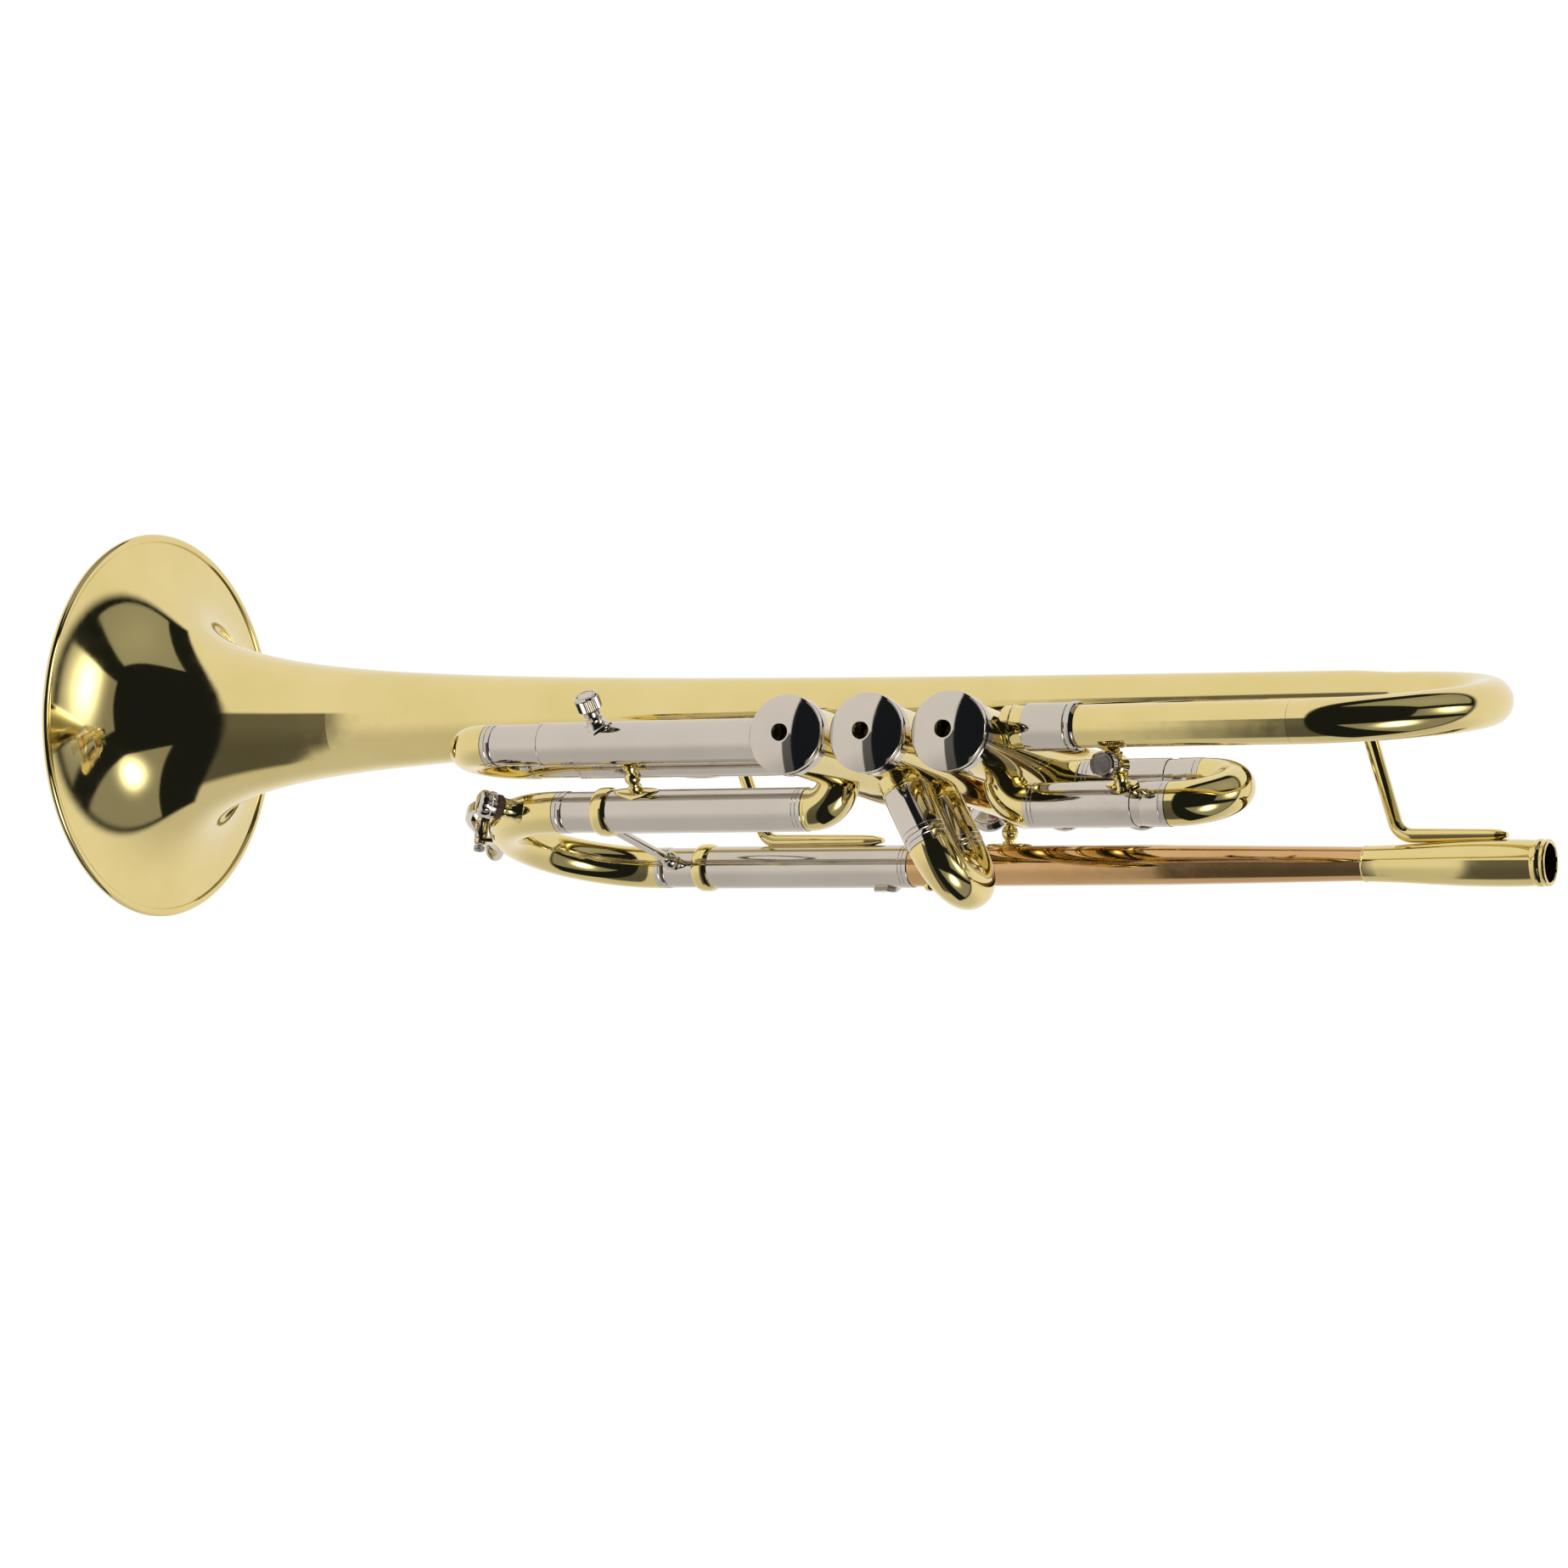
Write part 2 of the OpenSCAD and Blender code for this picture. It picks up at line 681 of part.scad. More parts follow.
module rear_brace() {
    color(gold) difference() {
        s_brace(41, 8, bell_y - 8.7, 28, 26, 71);
        rod(4, 60, 0, 0, 6.8);
        along_x(46, bell_y, 0) cylinder(r1 = 7.55, r2 = 8.05, h = 60);
    }
}

module valve_posts() {
    x = valve_xs[1];
    pipe_r = leadpipe_r2 - 0.05;
    color(gold) {
        difference() {
            aim([x, 0, 0], [0, 1, 0]) baluster(valve_y);
            rod(x - 20, x + 20, 0, 0, pipe_r);
            valve_column(1, casing_r + seam);
        }
        diamond_flange(x, 0, 0, pipe_r, -90);
        difference() {
            aim([x, valve_y, 0], [0, 1, 0]) baluster(bell_y - valve_y, ball_r = 1.8);
            rod(x - 20, x + 20, bell_y, 0, bell_r(bell_rim_x - x) + 0.2);
            valve_column(1, casing_r + seam);
        }
    }
}

slide_post_x = 258.6;
module slide_post() {
    run = [0, third_y - main_low_y, third_low_z - main_low_z];
    color(gold) {
        difference() {
            aim([slide_post_x, main_low_y, main_low_z], run) baluster(norm(run));
            rod(slide_post_x - 10, slide_post_x + 10, main_low_y, main_low_z, tube_r + 0.7);
            rod(slide_post_x - 10, slide_post_x + 10, third_y, third_low_z, tube_r + seam);
        }
        diamond_flange(slide_post_x, main_low_y, main_low_z, tube_r, atan2(run[2], run[1]) - 90);
    }
}

// Post from the bell tail to the first slide, with a threaded boss for the lyre screw
lyre_x = 103.5;
lyre_dir = [-0.02, -0.13, -1];
lyre_mid = [lyre_x, (tail_y + first_low_y) / 2, (tail_z + first_low_z) / 2];
module lyre_holder() {
    run = [0, first_low_y - tail_y, first_low_z - tail_z];
    turn = atan2(run[2], run[1]);
    color(gold) {
        difference() {
            union() {
                aim([lyre_x, tail_y, tail_z], run) baluster(norm(run), waist_r = 1.8, ball_r = 2.4);
                aim(lyre_mid, lyre_dir) cylinder(r = 2.9, h = 5.2, center = true);
            }
            rod(lyre_x - 10, lyre_x + 10, tail_y, tail_z, tail_r + 0.7);
            rod(lyre_x - 10, lyre_x + 10, first_low_y, first_low_z, tube_r + 0.7);
            aim(lyre_mid, lyre_dir) cylinder(r = screw_r + 0.05, h = 12);
        }
        diamond_flange(lyre_x, tail_y, tail_z, tail_r, turn - 90, len = 10, wide = 6);
        diamond_flange(lyre_x, first_low_y, first_low_z, tube_r, turn + 90, len = 10, wide = 6);
    }
}

module lyre_screw() {
    color(nickel) aim(lyre_mid + 0.3 * lyre_dir, lyre_dir) thumb_screw(stem = 6.4);
}

lock_x = 265.5;
lock_dir = [0.08, 0.76, -0.64];
lock_turn = atan2(lock_dir[2], lock_dir[1]) - 90;
module lock_saddle() {
    color(nickel) difference() {
        union() {
            diamond_flange(lock_x, third_y, third_low_z, tube_r, lock_turn, len = 9, wide = 8);
            aim([lock_x, third_y, third_low_z], lock_dir) cylinder(r = 2.7, h = tube_r + 2.6);
        }
        rod(lock_x - 10, lock_x + 10, third_y, third_low_z, tube_r + seam);
        aim([lock_x, third_y, third_low_z], lock_dir) cylinder(r = screw_r + 0.05, h = 20);
    }
}

module lock_screw() {
    dir = lock_dir / norm(lock_dir);
    color(nickel) aim([lock_x, third_y, third_low_z] + (tube_r + 0.35) * dir, lock_dir)
        thumb_screw(stem = 5);
}

// Hook for the little finger: a saddle on the main slide's upper tube, a curl above it
// that opens towards the player, and a ball foot on the leadpipe behind
hook_x = 209;              // middle of the saddle
hook_len = 8;
hook_band = 1.4;           // thickness of the sheet
hook_w = 6;                // width of the curl
hook_curl_r = 7.8;
hook_saddle_r = tube_r + seam;
hook_z = hook_saddle_r + hook_band + hook_curl_r - 0.4;
ball_foot = [192, -5.9, -2.6];
module finger_hook() {
    color(nickel) {
        along_x(hook_x - hook_len / 2, 0, 0) rotate([0, 0, 160]) rotate_extrude(angle = 125)
            translate([hook_saddle_r, 0]) square([hook_band, hook_len]);
        translate([hook_x, 0, hook_z]) rotate([90, 0, 0]) rotate([0, 0, -90]) rotate_extrude(angle = 205)
            translate([hook_curl_r, 0]) square([hook_band, hook_w], center = true);
    }
    color(gold) difference() {
        translate(ball_foot) sphere(r = 2.1);
        rod(ball_foot[0] - 5, ball_foot[0] + 5, 0, 0, leadpipe_r2 + seam);
    }
}

// ---- Main slide --------------------------------------------------------------------
main_up = [0, 0];
main_low = [main_low_y, main_low_z];
main_r = norm(main_up - main_low) / 2;
module main_leg(p) {
    tube(main_x0 + 4, main_crook_x, p[0], p[1], leg_r, bore_r);
}

module main_leg_upper() { color(nickel) main_leg(main_up); }
module main_leg_lower() { color(nickel) main_leg(main_low); }

module main_crook() {
    color(gold) u_bend(main_crook_x, main_low, main_up, crook_r, bore_r);
}

module main_brace() {
    x = 278.6;
    joint_r = 2.8;         // ball joint near each leg
    run = main_low - main_up;
    dir = [0, run[0], run[1]];
    color(nickel) difference() {
        union() {
            aim([x, 0, 0], dir) cylinder(r = 1.4, h = norm(dir));
            for (h = [8.6, norm(dir) - 8.6]) aim([x, 0, 0], dir) translate([0, 0, h]) sphere(r = joint_r);
        }
        rod(x - 10, x + 10, 0, 0, leg_r + seam);
        rod(x - 10, x + 10, main_low_y, main_low_z, leg_r + seam);
    }
}

// Frame of the main crook: origin at its centre, -Z towards the lower leg
module crook_frame() {
    translate([main_crook_x, main_low_y / 2, main_low_z / 2])
        rotate([atan2(main_low_y, -main_low_z), 0, 0])
        children();
}

// Solid of the main crook, used to cut what sits on it
module crook_core(r) {
    rotate([90, 0, 0]) rotate([0, 0, -90]) rotate_extrude(angle = 180) translate([main_r, 0]) circle(r = r);
}

key_seat_angle = 22;       // nipple on the crook, from straight down towards the front
key_axis_angle = 40;       // way the nipple points, from straight down towards the front
key_pivot_angle = 72;
key_pivot_r = main_r + crook_r + 3.2;
key_pivot = [key_pivot_r * sin(key_pivot_angle), -key_pivot_r * cos(key_pivot_angle)];
nipple_h = 5.2;            // from the crook's surface to the cork
cork_h = 2.2;
cup_h = 5.2;
cup_r = 4.2;
pin_r = 1;

// Frame of the water key's nipple: origin at the crook's surface, +Z outwards along the nipple
module nipple_frame() {
    seat = main_r + crook_r - 1.2;
    crook_frame() translate([seat * sin(key_seat_angle), 0, -seat * cos(key_seat_angle)])
        rotate([0, 180 - key_axis_angle, 0]) children();
}

module pivot_frame() {
    crook_frame() translate([key_pivot[0], 0, key_pivot[1]]) rotate([90, 0, 0]) children();
}

module key_saddle() {
    color(gold) difference() {
        union() {
            nipple_frame() translate([0, 0, -3]) cylinder(r = 3.1, h = nipple_h + 3);
            crook_frame() rotate([0, -key_pivot_angle, 0]) translate([0, 0, -key_pivot_r])
                for (side = [-1, 1])
                    translate([-1.9, side * 3.2 - 0.6, -1.9]) cube([3.8, 1.2, 9]);
        }
        crook_frame() crook_core(crook_r + seam);
        nipple_frame() translate([0, 0, -6]) cylinder(r = 1.3, h = 20);
        pivot_frame() cylinder(r = pin_r + seam, h = 12, center = true);
    }
}

module key_pin() {
    color(nickel) pivot_frame() {
        cylinder(r = pin_r, h = 9, center = true);
        translate([0, 0, 3.85]) cylinder(r = 1.8, h = 1);
    }
}

module key_springs() {
    color("#c9a85a") pivot_frame()
        for (side = [-1, 1], k = [0 : 1])
            translate([0, 0, side * (4.3 + 0.75 * k) + (side > 0 ? 0.9 : 0)])
                rotate_extrude() translate([1.5, 0]) circle(r = 0.3, $fn = 16);
}

// Centre line of the lever, as [angle from straight down, distance from the crook's centre]
key_line = [
    [24, 46.9], [34, 46.6], [46, 45.3], [58, 43.4], [66, 42.4], [78, 42.6], [88, 44.6], [98, 46.6]
];
function key_point(p, out) = (p[1] + out) * [sin(p[0]), -cos(p[0])];
key_last = len(key_line) - 1;
module key_lever() {
    bar_h = 0.9;           // half the bar's thickness
    bar_w = 3;
    plate = key_line[key_last];
    color(nickel) difference() {
        union() {
            nipple_frame() translate([0, 0, nipple_h + cork_h]) cylinder(r = cup_r, h = cup_h);
            pivot_frame() cylinder(r = 2, h = 5, center = true);
            crook_frame() rotate([90, 0, 0]) linear_extrude(height = bar_w, center = true) polygon(concat(
                [for (p = key_line) key_point(p, bar_h)],
                [for (k = [key_last : -1 : 0]) key_point(key_line[k], -bar_h)]
            ));
            crook_frame() rotate([0, -plate[0], 0]) translate([0, 0, -plate[1]])
                cylinder(r = 4.2, h = 1.4, center = true);
        }
        pivot_frame() cylinder(r = pin_r + 0.06, h = 12, center = true);
    }
}

module key_cork() {
    color("#3a2a22") nipple_frame() translate([0, 0, nipple_h + seam])
        cylinder(r = cup_r - 0.5, h = cork_h - 2 * seam);
}

// ---- First slide ---------------------------------------------------------------------
first_low = [first_low_y, first_low_z];
first_up = [first_up_y, first_up_z];
module first_legs() {
    color(nickel) {
        tube(first_crook_x, first_tube_x0 - 5, first_low_y, first_low_z, leg_r, bore_r);
        tube(first_crook_x, first_tube_x0 - 8, first_up_y, first_up_z, leg_r, bore_r);
    }
}

module first_crook() {
    color(gold) mirror([1, 0, 0]) u_bend(-first_crook_x, first_low, first_up, crook_r, bore_r);
}

saddle_r = 10;
module thumb_saddle() {
    x = first_crook_x + 4;
    color(nickel) difference() {
        union() {
            translate([x, first_up_y, first_up_z + leg_r + saddle_r + 1])
                rotate([90, 0, 0]) rotate([0, 0, 180])
                rotate_extrude(angle = 180) translate([saddle_r, 0]) square([1.6, 7], center = true);
            translate([x - 3, first_up_y - 3.5, first_up_z]) cube([6, 7, leg_r + 1]);
        }
        rod(x - 20, x + 20, first_up_y, first_up_z, leg_r + seam);
    }
}

// ---- Second slide ----------------------------------------------------------------------
module second_legs() {
    color(nickel) second_frame() for (z = [second_low_z, second_up_z])
        tube(second_tube_x0 + 0.5, second_crook_x, 0, z, leg_r, bore_r);
}

module second_crook() {
    color(gold) second_frame() {
        u_bend(second_crook_x, [0, second_low_z], [0, second_up_z], crook_r, bore_r);
    }
}

// ---- Third slide -------------------------------------------------------------------------
third_low = [third_y, third_low_z];
third_up = [third_y, third_up_z];
module third_legs() {
    color(nickel) for (z = [third_low_z, third_up_z])
        tube(third_tube_x0 + 4, third_crook_x, third_y, z, leg_r, bore_r);
}

third_mid_z = (third_low_z + third_up_z) / 2;
module third_crook() {
    reach = third_crook_x + (third_up_z - third_low_z) / 2;
    color(gold) {
        u_bend(third_crook_x, third_low, third_up, crook_r, bore_r);
        difference() {
            rod(reach, reach + crook_r + 2.6, third_y, third_mid_z, 2.1);
            rod(reach - 1, reach + crook_r - 0.3, third_y, third_mid_z, 4);
        }
    }
}

ring_r = 11.4;
ring_x = 262;
module finger_ring() {
    bar_z = third_up_z + tube_r + 0.6;
    color(nickel) {
        difference() {
            union() {
                translate([ring_x, third_y - 2.5, bar_z]) cube([34, 5, 1.6]);
                translate([291, third_y - 2.5, third_up_z]) cube([8, 5, bar_z - third_up_z + 1.6]);
            }
            rod(285, 310, third_y, third_up_z, leg_r + seam);
        }
        translate([ring_x, third_y, bar_z + 1.2 + ring_r]) rotate([90, 0, 0]) rotate_extrude()
            translate([ring_r, 0]) circle(r = 1.8, $fn = 24);
    }
}

bell();
bell_stem();
bell_bow();
bell_tail();
bell_ferrule();
bell_knuckle();
casing_1();
casing_2();
casing_3();
bottom_caps();
top_caps();
valve_felts();
valve_guides();
port_knuckles();
leadpipe();
mouthpiece_receiver();
main_tube_upper();
main_tube_lower();
tube_rings();
main_elbow();
first_tubes();
first_elbow();
second_tubes();
third_tubes();
front_brace();
rear_brace();
valve_posts();
slide_post();
lyre_holder();
lock_saddle();
finger_hook();
main_crook();
main_leg_upper();
main_leg_lower();
main_brace();
key_saddle();
key_pin();
key_springs();
key_lever();
key_cork();
first_crook();
first_legs();
thumb_saddle();
second_crook();
second_legs();
third_crook();
third_legs();
finger_ring();
piston_1();
piston_2();
piston_3();
button_1();
button_2();
button_3();
spring_1();
spring_2();
spring_3();
lock_screw();
lyre_screw();
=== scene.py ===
"""A B-flat trumpet, seen from below, in a white light tent. Metres, in the part's own frame."""

import json
import math

import bpy
import numpy as np
from mathutils import Matrix, Vector

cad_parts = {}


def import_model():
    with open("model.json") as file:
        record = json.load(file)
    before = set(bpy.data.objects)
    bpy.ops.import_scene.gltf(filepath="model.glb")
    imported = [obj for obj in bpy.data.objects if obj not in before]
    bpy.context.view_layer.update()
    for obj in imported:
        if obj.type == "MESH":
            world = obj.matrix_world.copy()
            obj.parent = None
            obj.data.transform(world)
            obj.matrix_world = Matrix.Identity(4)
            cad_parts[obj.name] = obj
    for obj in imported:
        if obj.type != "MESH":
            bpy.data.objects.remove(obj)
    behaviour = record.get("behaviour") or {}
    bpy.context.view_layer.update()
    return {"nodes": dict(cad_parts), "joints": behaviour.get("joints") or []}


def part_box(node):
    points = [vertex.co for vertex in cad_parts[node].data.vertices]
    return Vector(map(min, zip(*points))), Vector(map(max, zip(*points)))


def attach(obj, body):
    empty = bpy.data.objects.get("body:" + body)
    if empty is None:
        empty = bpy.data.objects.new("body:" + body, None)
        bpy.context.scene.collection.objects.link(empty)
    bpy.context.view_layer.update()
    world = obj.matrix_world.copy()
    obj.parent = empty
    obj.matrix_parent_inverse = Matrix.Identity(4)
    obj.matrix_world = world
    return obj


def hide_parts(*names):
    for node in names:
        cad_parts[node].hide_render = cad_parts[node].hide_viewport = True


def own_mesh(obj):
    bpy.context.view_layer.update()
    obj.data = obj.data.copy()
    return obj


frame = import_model()
MM = 0.001
TAU = 2 * math.pi
SEGMENTS = 64  # round a tube
X_AXIS = np.array([1.0, 0.0, 0.0])
Y_AXIS = np.array([0.0, 1.0, 0.0])
Z_AXIS = np.array([0.0, 0.0, 1.0])
JOINTS = {j["name"]: j for j in frame["joints"]}


# ---- Mesh building ---------------------------------------------------------


def unit(v):
    v = np.asarray(v, float)
    return v / np.linalg.norm(v)


def across(along):
    """Two directions square to along and to each other."""
    along = unit(along)
    helper = Z_AXIS if abs(along[2]) < 0.9 else X_AXIS
    u = unit(np.cross(helper, along))
    return u, np.cross(along, u)


def ring(centre, u, v, radius, count=SEGMENTS, teeth=0, depth=0.0):
    """A circle of points, in millimetres. With teeth, its radius falls by depth between them."""
    a = np.arange(count) * TAU / count
    r = np.full(count, float(radius))
    if teeth:
        r -= depth * (0.5 - 0.5 * np.cos(a * teeth))
    return np.asarray(centre) + np.outer(r * np.cos(a), u) + np.outer(r * np.sin(a), v)


def skin(rings, closed=False, caps=True):
    """(points, faces) of a surface through rings of equal size. Closed joins the last ring to the first."""
    n, m = len(rings), len(rings[0])
    points = np.concatenate(rings)
    faces = []
    for i in range(n if closed else n - 1):
        a, b = i * m, ((i + 1) % n) * m
        faces += [(a + k, a + (k + 1) % m, b + (k + 1) % m, b + k) for k in range(m)]
    if caps and not closed:
        faces.append(tuple(range(m - 1, -1, -1)))
        faces.append(tuple(range((n - 1) * m, n * m)))
    return points, faces


def lathe(start, along, outline, closed=False, count=SEGMENTS, teeth=0, depth=0.0, toothed=()):
    """Turns an outline of (distance, radius) about the axis from start. Stretches in toothed have teeth."""
    along = unit(along)
    u, v = across(along)
    rings = []
    for d, r in outline:
        cut = any(a <= d <= b for a, b in toothed)
        rings.append(ring(np.asarray(start) + d * along, u, v, r, count, teeth if cut else 0, depth))
    return skin(rings, closed)


def pipe(start, along, length, r_out, r_in, soft=0.15, count=SEGMENTS):
    """A hollow tube with softened ends."""
    s = min(soft, (r_out - r_in) * 0.4)
    outline = [
        (0, r_in + s), (0, r_out - s), (s, r_out), (length - s, r_out),
        (length, r_out - s), (length, r_in + s), (length - s, r_in), (s, r_in),
    ]
    return lathe(start, along, outline, closed=True, count=count)


def band(start, along, length, r_out, r_in, bulge=0.0, count=SEGMENTS):
    """A ring round a tube, with a rounded outside."""
    steps = 7
    outline = [(0, r_in)]
    for k in range(steps):
        t = k / (steps - 1)
        edge = 0.25 * (2 * t - 1) ** 8
        outline.append((length * t, r_out + bulge * (1 - (2 * t - 1) ** 2) - bulge - edge))
    outline.append((length, r_in))
    return lathe(start, along, outline, closed=True, count=count)


def sweep(path, radii, count=SEGMENTS, closed=False, caps=True):
    """A round rod along a path, its frame carried without twist."""
    path = np.asarray(path, float)
    if closed:
        tangents = np.roll(path, -1, 0) - np.roll(path, 1, 0)
    else:
        tangents = np.gradient(path, axis=0)
    radii = np.broadcast_to(radii, len(path))
    u = across(tangents[0])[0]
    rings = []
    for p, t, r in zip(path, tangents, radii):
        t = unit(t)
        u = unit(u - t * np.dot(u, t))
        rings.append(ring(p, u, np.cross(t, u), r, count))
    return skin(rings, closed, caps)


def hollow_sweep(path, r_out, r_in, count=SEGMENTS):
    """A tube along a path: its outside, and its inside run back."""
    outer, inner = (sweep(path, r, count)[0] for r in (r_out, r_in))
    m, n = count, len(path)
    rings = [outer[i * m : (i + 1) * m] for i in range(n)]
    rings += [inner[i * m : (i + 1) * m] for i in range(n - 1, -1, -1)]
    return skin(rings, closed=True)


def strip(path, side, width, thick, soft=0.35):
    """A flat band along a path, its width along side, with rounded edges."""
    path = np.asarray(path, float)
    tangents = np.gradient(path, axis=0)
    side = unit(side)
    half = np.broadcast_to(np.asarray(width, float) / 2, len(path))
    section = [
        (1, 0.5 - soft), (1 - soft * 0.3, 0.5), (-1 + soft * 0.3, 0.5), (-1, 0.5 - soft),
        (-1, -0.5 + soft), (-1 + soft * 0.3, -0.5), (1 - soft * 0.3, -0.5), (1, -0.5 + soft),
    ]
    rings = []
    for p, t, h in zip(path, tangents, half):
        up = unit(np.cross(side, t))
        rings.append(np.array([p + a * h * side + b * thick * up for a, b in section]))
    return skin(rings)


def ball(centre, radius, count=32):
    """A sphere of rings, closed by a small face at each pole."""
    steps = count // 2
    turns = [math.pi * k / steps for k in range(steps + 1)]
    outline = [(-radius * math.cos(t), radius * max(math.sin(t), 0.01)) for t in turns]
    return lathe(centre, Z_AXIS, outline, count=count)


def arc(centre, a, b, radius, start, end, steps=48):
    """Points of an arc about centre in the plane of directions a and b, angles in degrees."""
    t = np.radians(np.linspace(start, end, steps))
    return np.asarray(centre) + radius * (np.outer(np.cos(t), unit(a)) + np.outer(np.sin(t), unit(b)))


def catmull(points, steps):
    """A smooth curve through points."""
    ends = np.vstack([2 * points[0] - points[1], points, 2 * points[-1] - points[-2]])
    out = []
    for a, b, c, d in zip(ends, ends[1:], ends[2:], ends[3:]):
        for t in np.linspace(0, 1, steps, endpoint=False):
            bend = (2 * a - 5 * b + 4 * c - d) * t**2 + (3 * b - a - 3 * c + d) * t**3
            out.append(0.5 * (2 * b + (c - a) * t + bend))
    out.append(points[-1])
    return np.array(out)


def corner(d0, r0, *points):
    """Outline points given by their distances from a corner at (d0, r0)."""
    return [(d0 + d, r0 + r) for d, r in points]


def smooth(t):
    """Eases from 0 to 1."""
    return t * t * (3 - 2 * t)


def bulb(middle_at, radius, least, first=1):
    """Outline points of a ball on a turned rod that is never thinner than least."""
    points = []
    for k in range(first, 12):
        t = math.pi * k / 12
        points.append((middle_at - radius * math.cos(t), max(radius * math.sin(t), least)))
    return points


def place(name, data):
    obj = bpy.data.objects.new(name, data)
    bpy.context.scene.collection.objects.link(obj)
    return obj


def make(name, parts, material, body="frame", replaced=True, sharp=38.0):
    """One smooth piece from (points, faces) parts in millimetres, riding on a body.

    It stands for the CAD node of its own name, unless replaced is False.
    """
    points, faces, base = [], [], 0
    for p, f in parts:
        points.append(p)
        faces += [tuple(i + base for i in face) for face in f]
        base += len(p)
    mesh = bpy.data.meshes.new(name)
    mesh.from_pydata((np.concatenate(points) * MM).tolist(), [], faces)
    mesh.validate()
    mesh.update()
    mesh.shade_smooth()
    mesh.set_sharp_from_angle(angle=math.radians(sharp))
    obj = place(name, mesh)
    bpy.context.view_layer.objects.active = obj
    obj.select_set(True)
    bpy.ops.object.mode_set(mode="EDIT")
    bpy.ops.mesh.select_all(action="SELECT")
    bpy.ops.mesh.normals_make_consistent(inside=False)
    bpy.ops.object.mode_set(mode="OBJECT")
    obj.select_set(False)
    mesh.materials.append(material[0])
    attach(obj, body)
    if replaced:
        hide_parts(name)
    return obj


# ---- Materials -------------------------------------------------------------


def ramp(tree, value, span, levels, kind="LINEAR"):
    """Maps a value's span onto levels."""
    node = tree.nodes.new("ShaderNodeMapRange")
    node.interpolation_type = kind
    for key, number in zip(("From Min", "From Max", "To Min", "To Max"), (*span, *levels)):
        node.inputs[key].default_value = number
    tree.links.new(value, node.inputs["Value"])
    return node.outputs["Result"]


class Nodes:
    """Short names for building a material's node tree."""

    def __init__(self, name):
        self.material = bpy.data.materials.new(name)
        self.material.use_nodes = True
        self.tree = self.material.node_tree
        self.shader = self.tree.nodes["Principled BSDF"]

    def add(self, kind, **values):
        node = self.tree.nodes.new(kind)
        for key, value in values.items():
            if hasattr(node, key):
                setattr(node, key, value)
            else:
                node.inputs[key.replace("_", " ")].default_value = value
        return node

    def link(self, a, b):
        self.tree.links.new(a, b)

    def coordinates(self):
        return self.add("ShaderNodeTexCoord").outputs["Object"]

    def texture(self, kind, output, **values):
        node = self.add(kind, **values)
        self.link(self.coordinates(), node.inputs["Vector"])
        return node.outputs[output]

    def noise(self, scale, detail=4.0, rough=0.55):
        return self.texture("ShaderNodeTexNoise", "Fac", Scale=scale, Detail=detail, Roughness=rough)

    def ramp(self, source, low, high, start=0.35, end=0.65):
        return ramp(self.tree, source, (start, end), (low, high))

    def blend(self, source, colour_a, colour_b):
        node = self.add("ShaderNodeMix", data_type="RGBA")
        node.inputs["A"].default_value = (*colour_a, 1)
        node.inputs["B"].default_value = (*colour_b, 1)
        self.link(source, node.inputs["Factor"])
        return node.outputs["Result"]

    def bump(self, height, strength, distance):
        node = self.add("ShaderNodeBump", Strength=strength, Distance=distance)
        self.link(height, node.inputs["Height"])
        self.link(node.outputs["Normal"], self.shader.inputs["Normal"])

    def set(self, **values):
        for key, value in values.items():
            self.shader.inputs[key.replace("_", " ")].default_value = value

    def paint(self, source, colour_a, colour_b):
        """Mixes two base colours where a pattern runs from low to high."""
        self.link(self.blend(source, colour_a, colour_b), self.shader.inputs["Base Color"])


def polished(name, slot, light, deep, rough, coat=0.0):
    """Polished metal: the tint drifts a little, and faint wiping marks change the roughness."""
    n = Nodes(name)
    n.set(Metallic=1.0, Coat_Weight=coat, Coat_Roughness=0.03)
    n.paint(n.ramp(n.noise(38.0, 3.0), 0.0, 1.0), light, deep)
    n.link(n.ramp(n.noise(210.0, 6.0, 0.7), rough, rough * 1.9), n.shader.inputs["Roughness"])
    n.bump(n.noise(55.0, 2.0), 0.035, 0.0006)
    return n.material, slot


def honed(name, slot, light, deep, rough):
    """Bare metal with fine turning lines round its length."""
    n = Nodes(name)
    n.set(Metallic=1.0)
    lines = n.add("ShaderNodeTexNoise", Scale=900.0, Detail=4.0)
    stretch = n.add("ShaderNodeMapping")
    stretch.inputs["Scale"].default_value = (0.05, 0.05, 1.0)
    n.link(n.coordinates(), stretch.inputs["Vector"])
    n.link(stretch.outputs["Vector"], lines.inputs["Vector"])
    n.paint(n.ramp(lines.outputs["Fac"], 0.0, 1.0), light, deep)
    n.link(n.ramp(n.noise(160.0), rough, rough * 1.5), n.shader.inputs["Roughness"])
    n.bump(lines.outputs["Fac"], 0.12, 0.0002)
    return n.material, slot


def felt():
    """Red wool with short fibres."""
    n = Nodes("wool_felt")
    n.set(Roughness=0.95, Sheen_Weight=0.5)
    fibres = n.noise(1800.0, 8.0, 0.75)
    n.paint(n.ramp(fibres, 0.0, 1.0), (0.33, 0.05, 0.07), (0.52, 0.13, 0.15))
    n.bump(fibres, 0.6, 0.0004)
    return n.material, "felt"


def cork():
    """Dark cork with small cells."""
    n = Nodes("dark_cork")
    n.set(Roughness=0.8)
    cells = n.texture("ShaderNodeTexVoronoi", "Distance", Scale=1300.0)
    n.paint(n.ramp(cells, 0.0, 1.0, 0.0, 0.7), (0.035, 0.022, 0.015), (0.12, 0.07, 0.045))
    n.bump(cells, 0.5, 0.0002)
    return n.material, "cork"


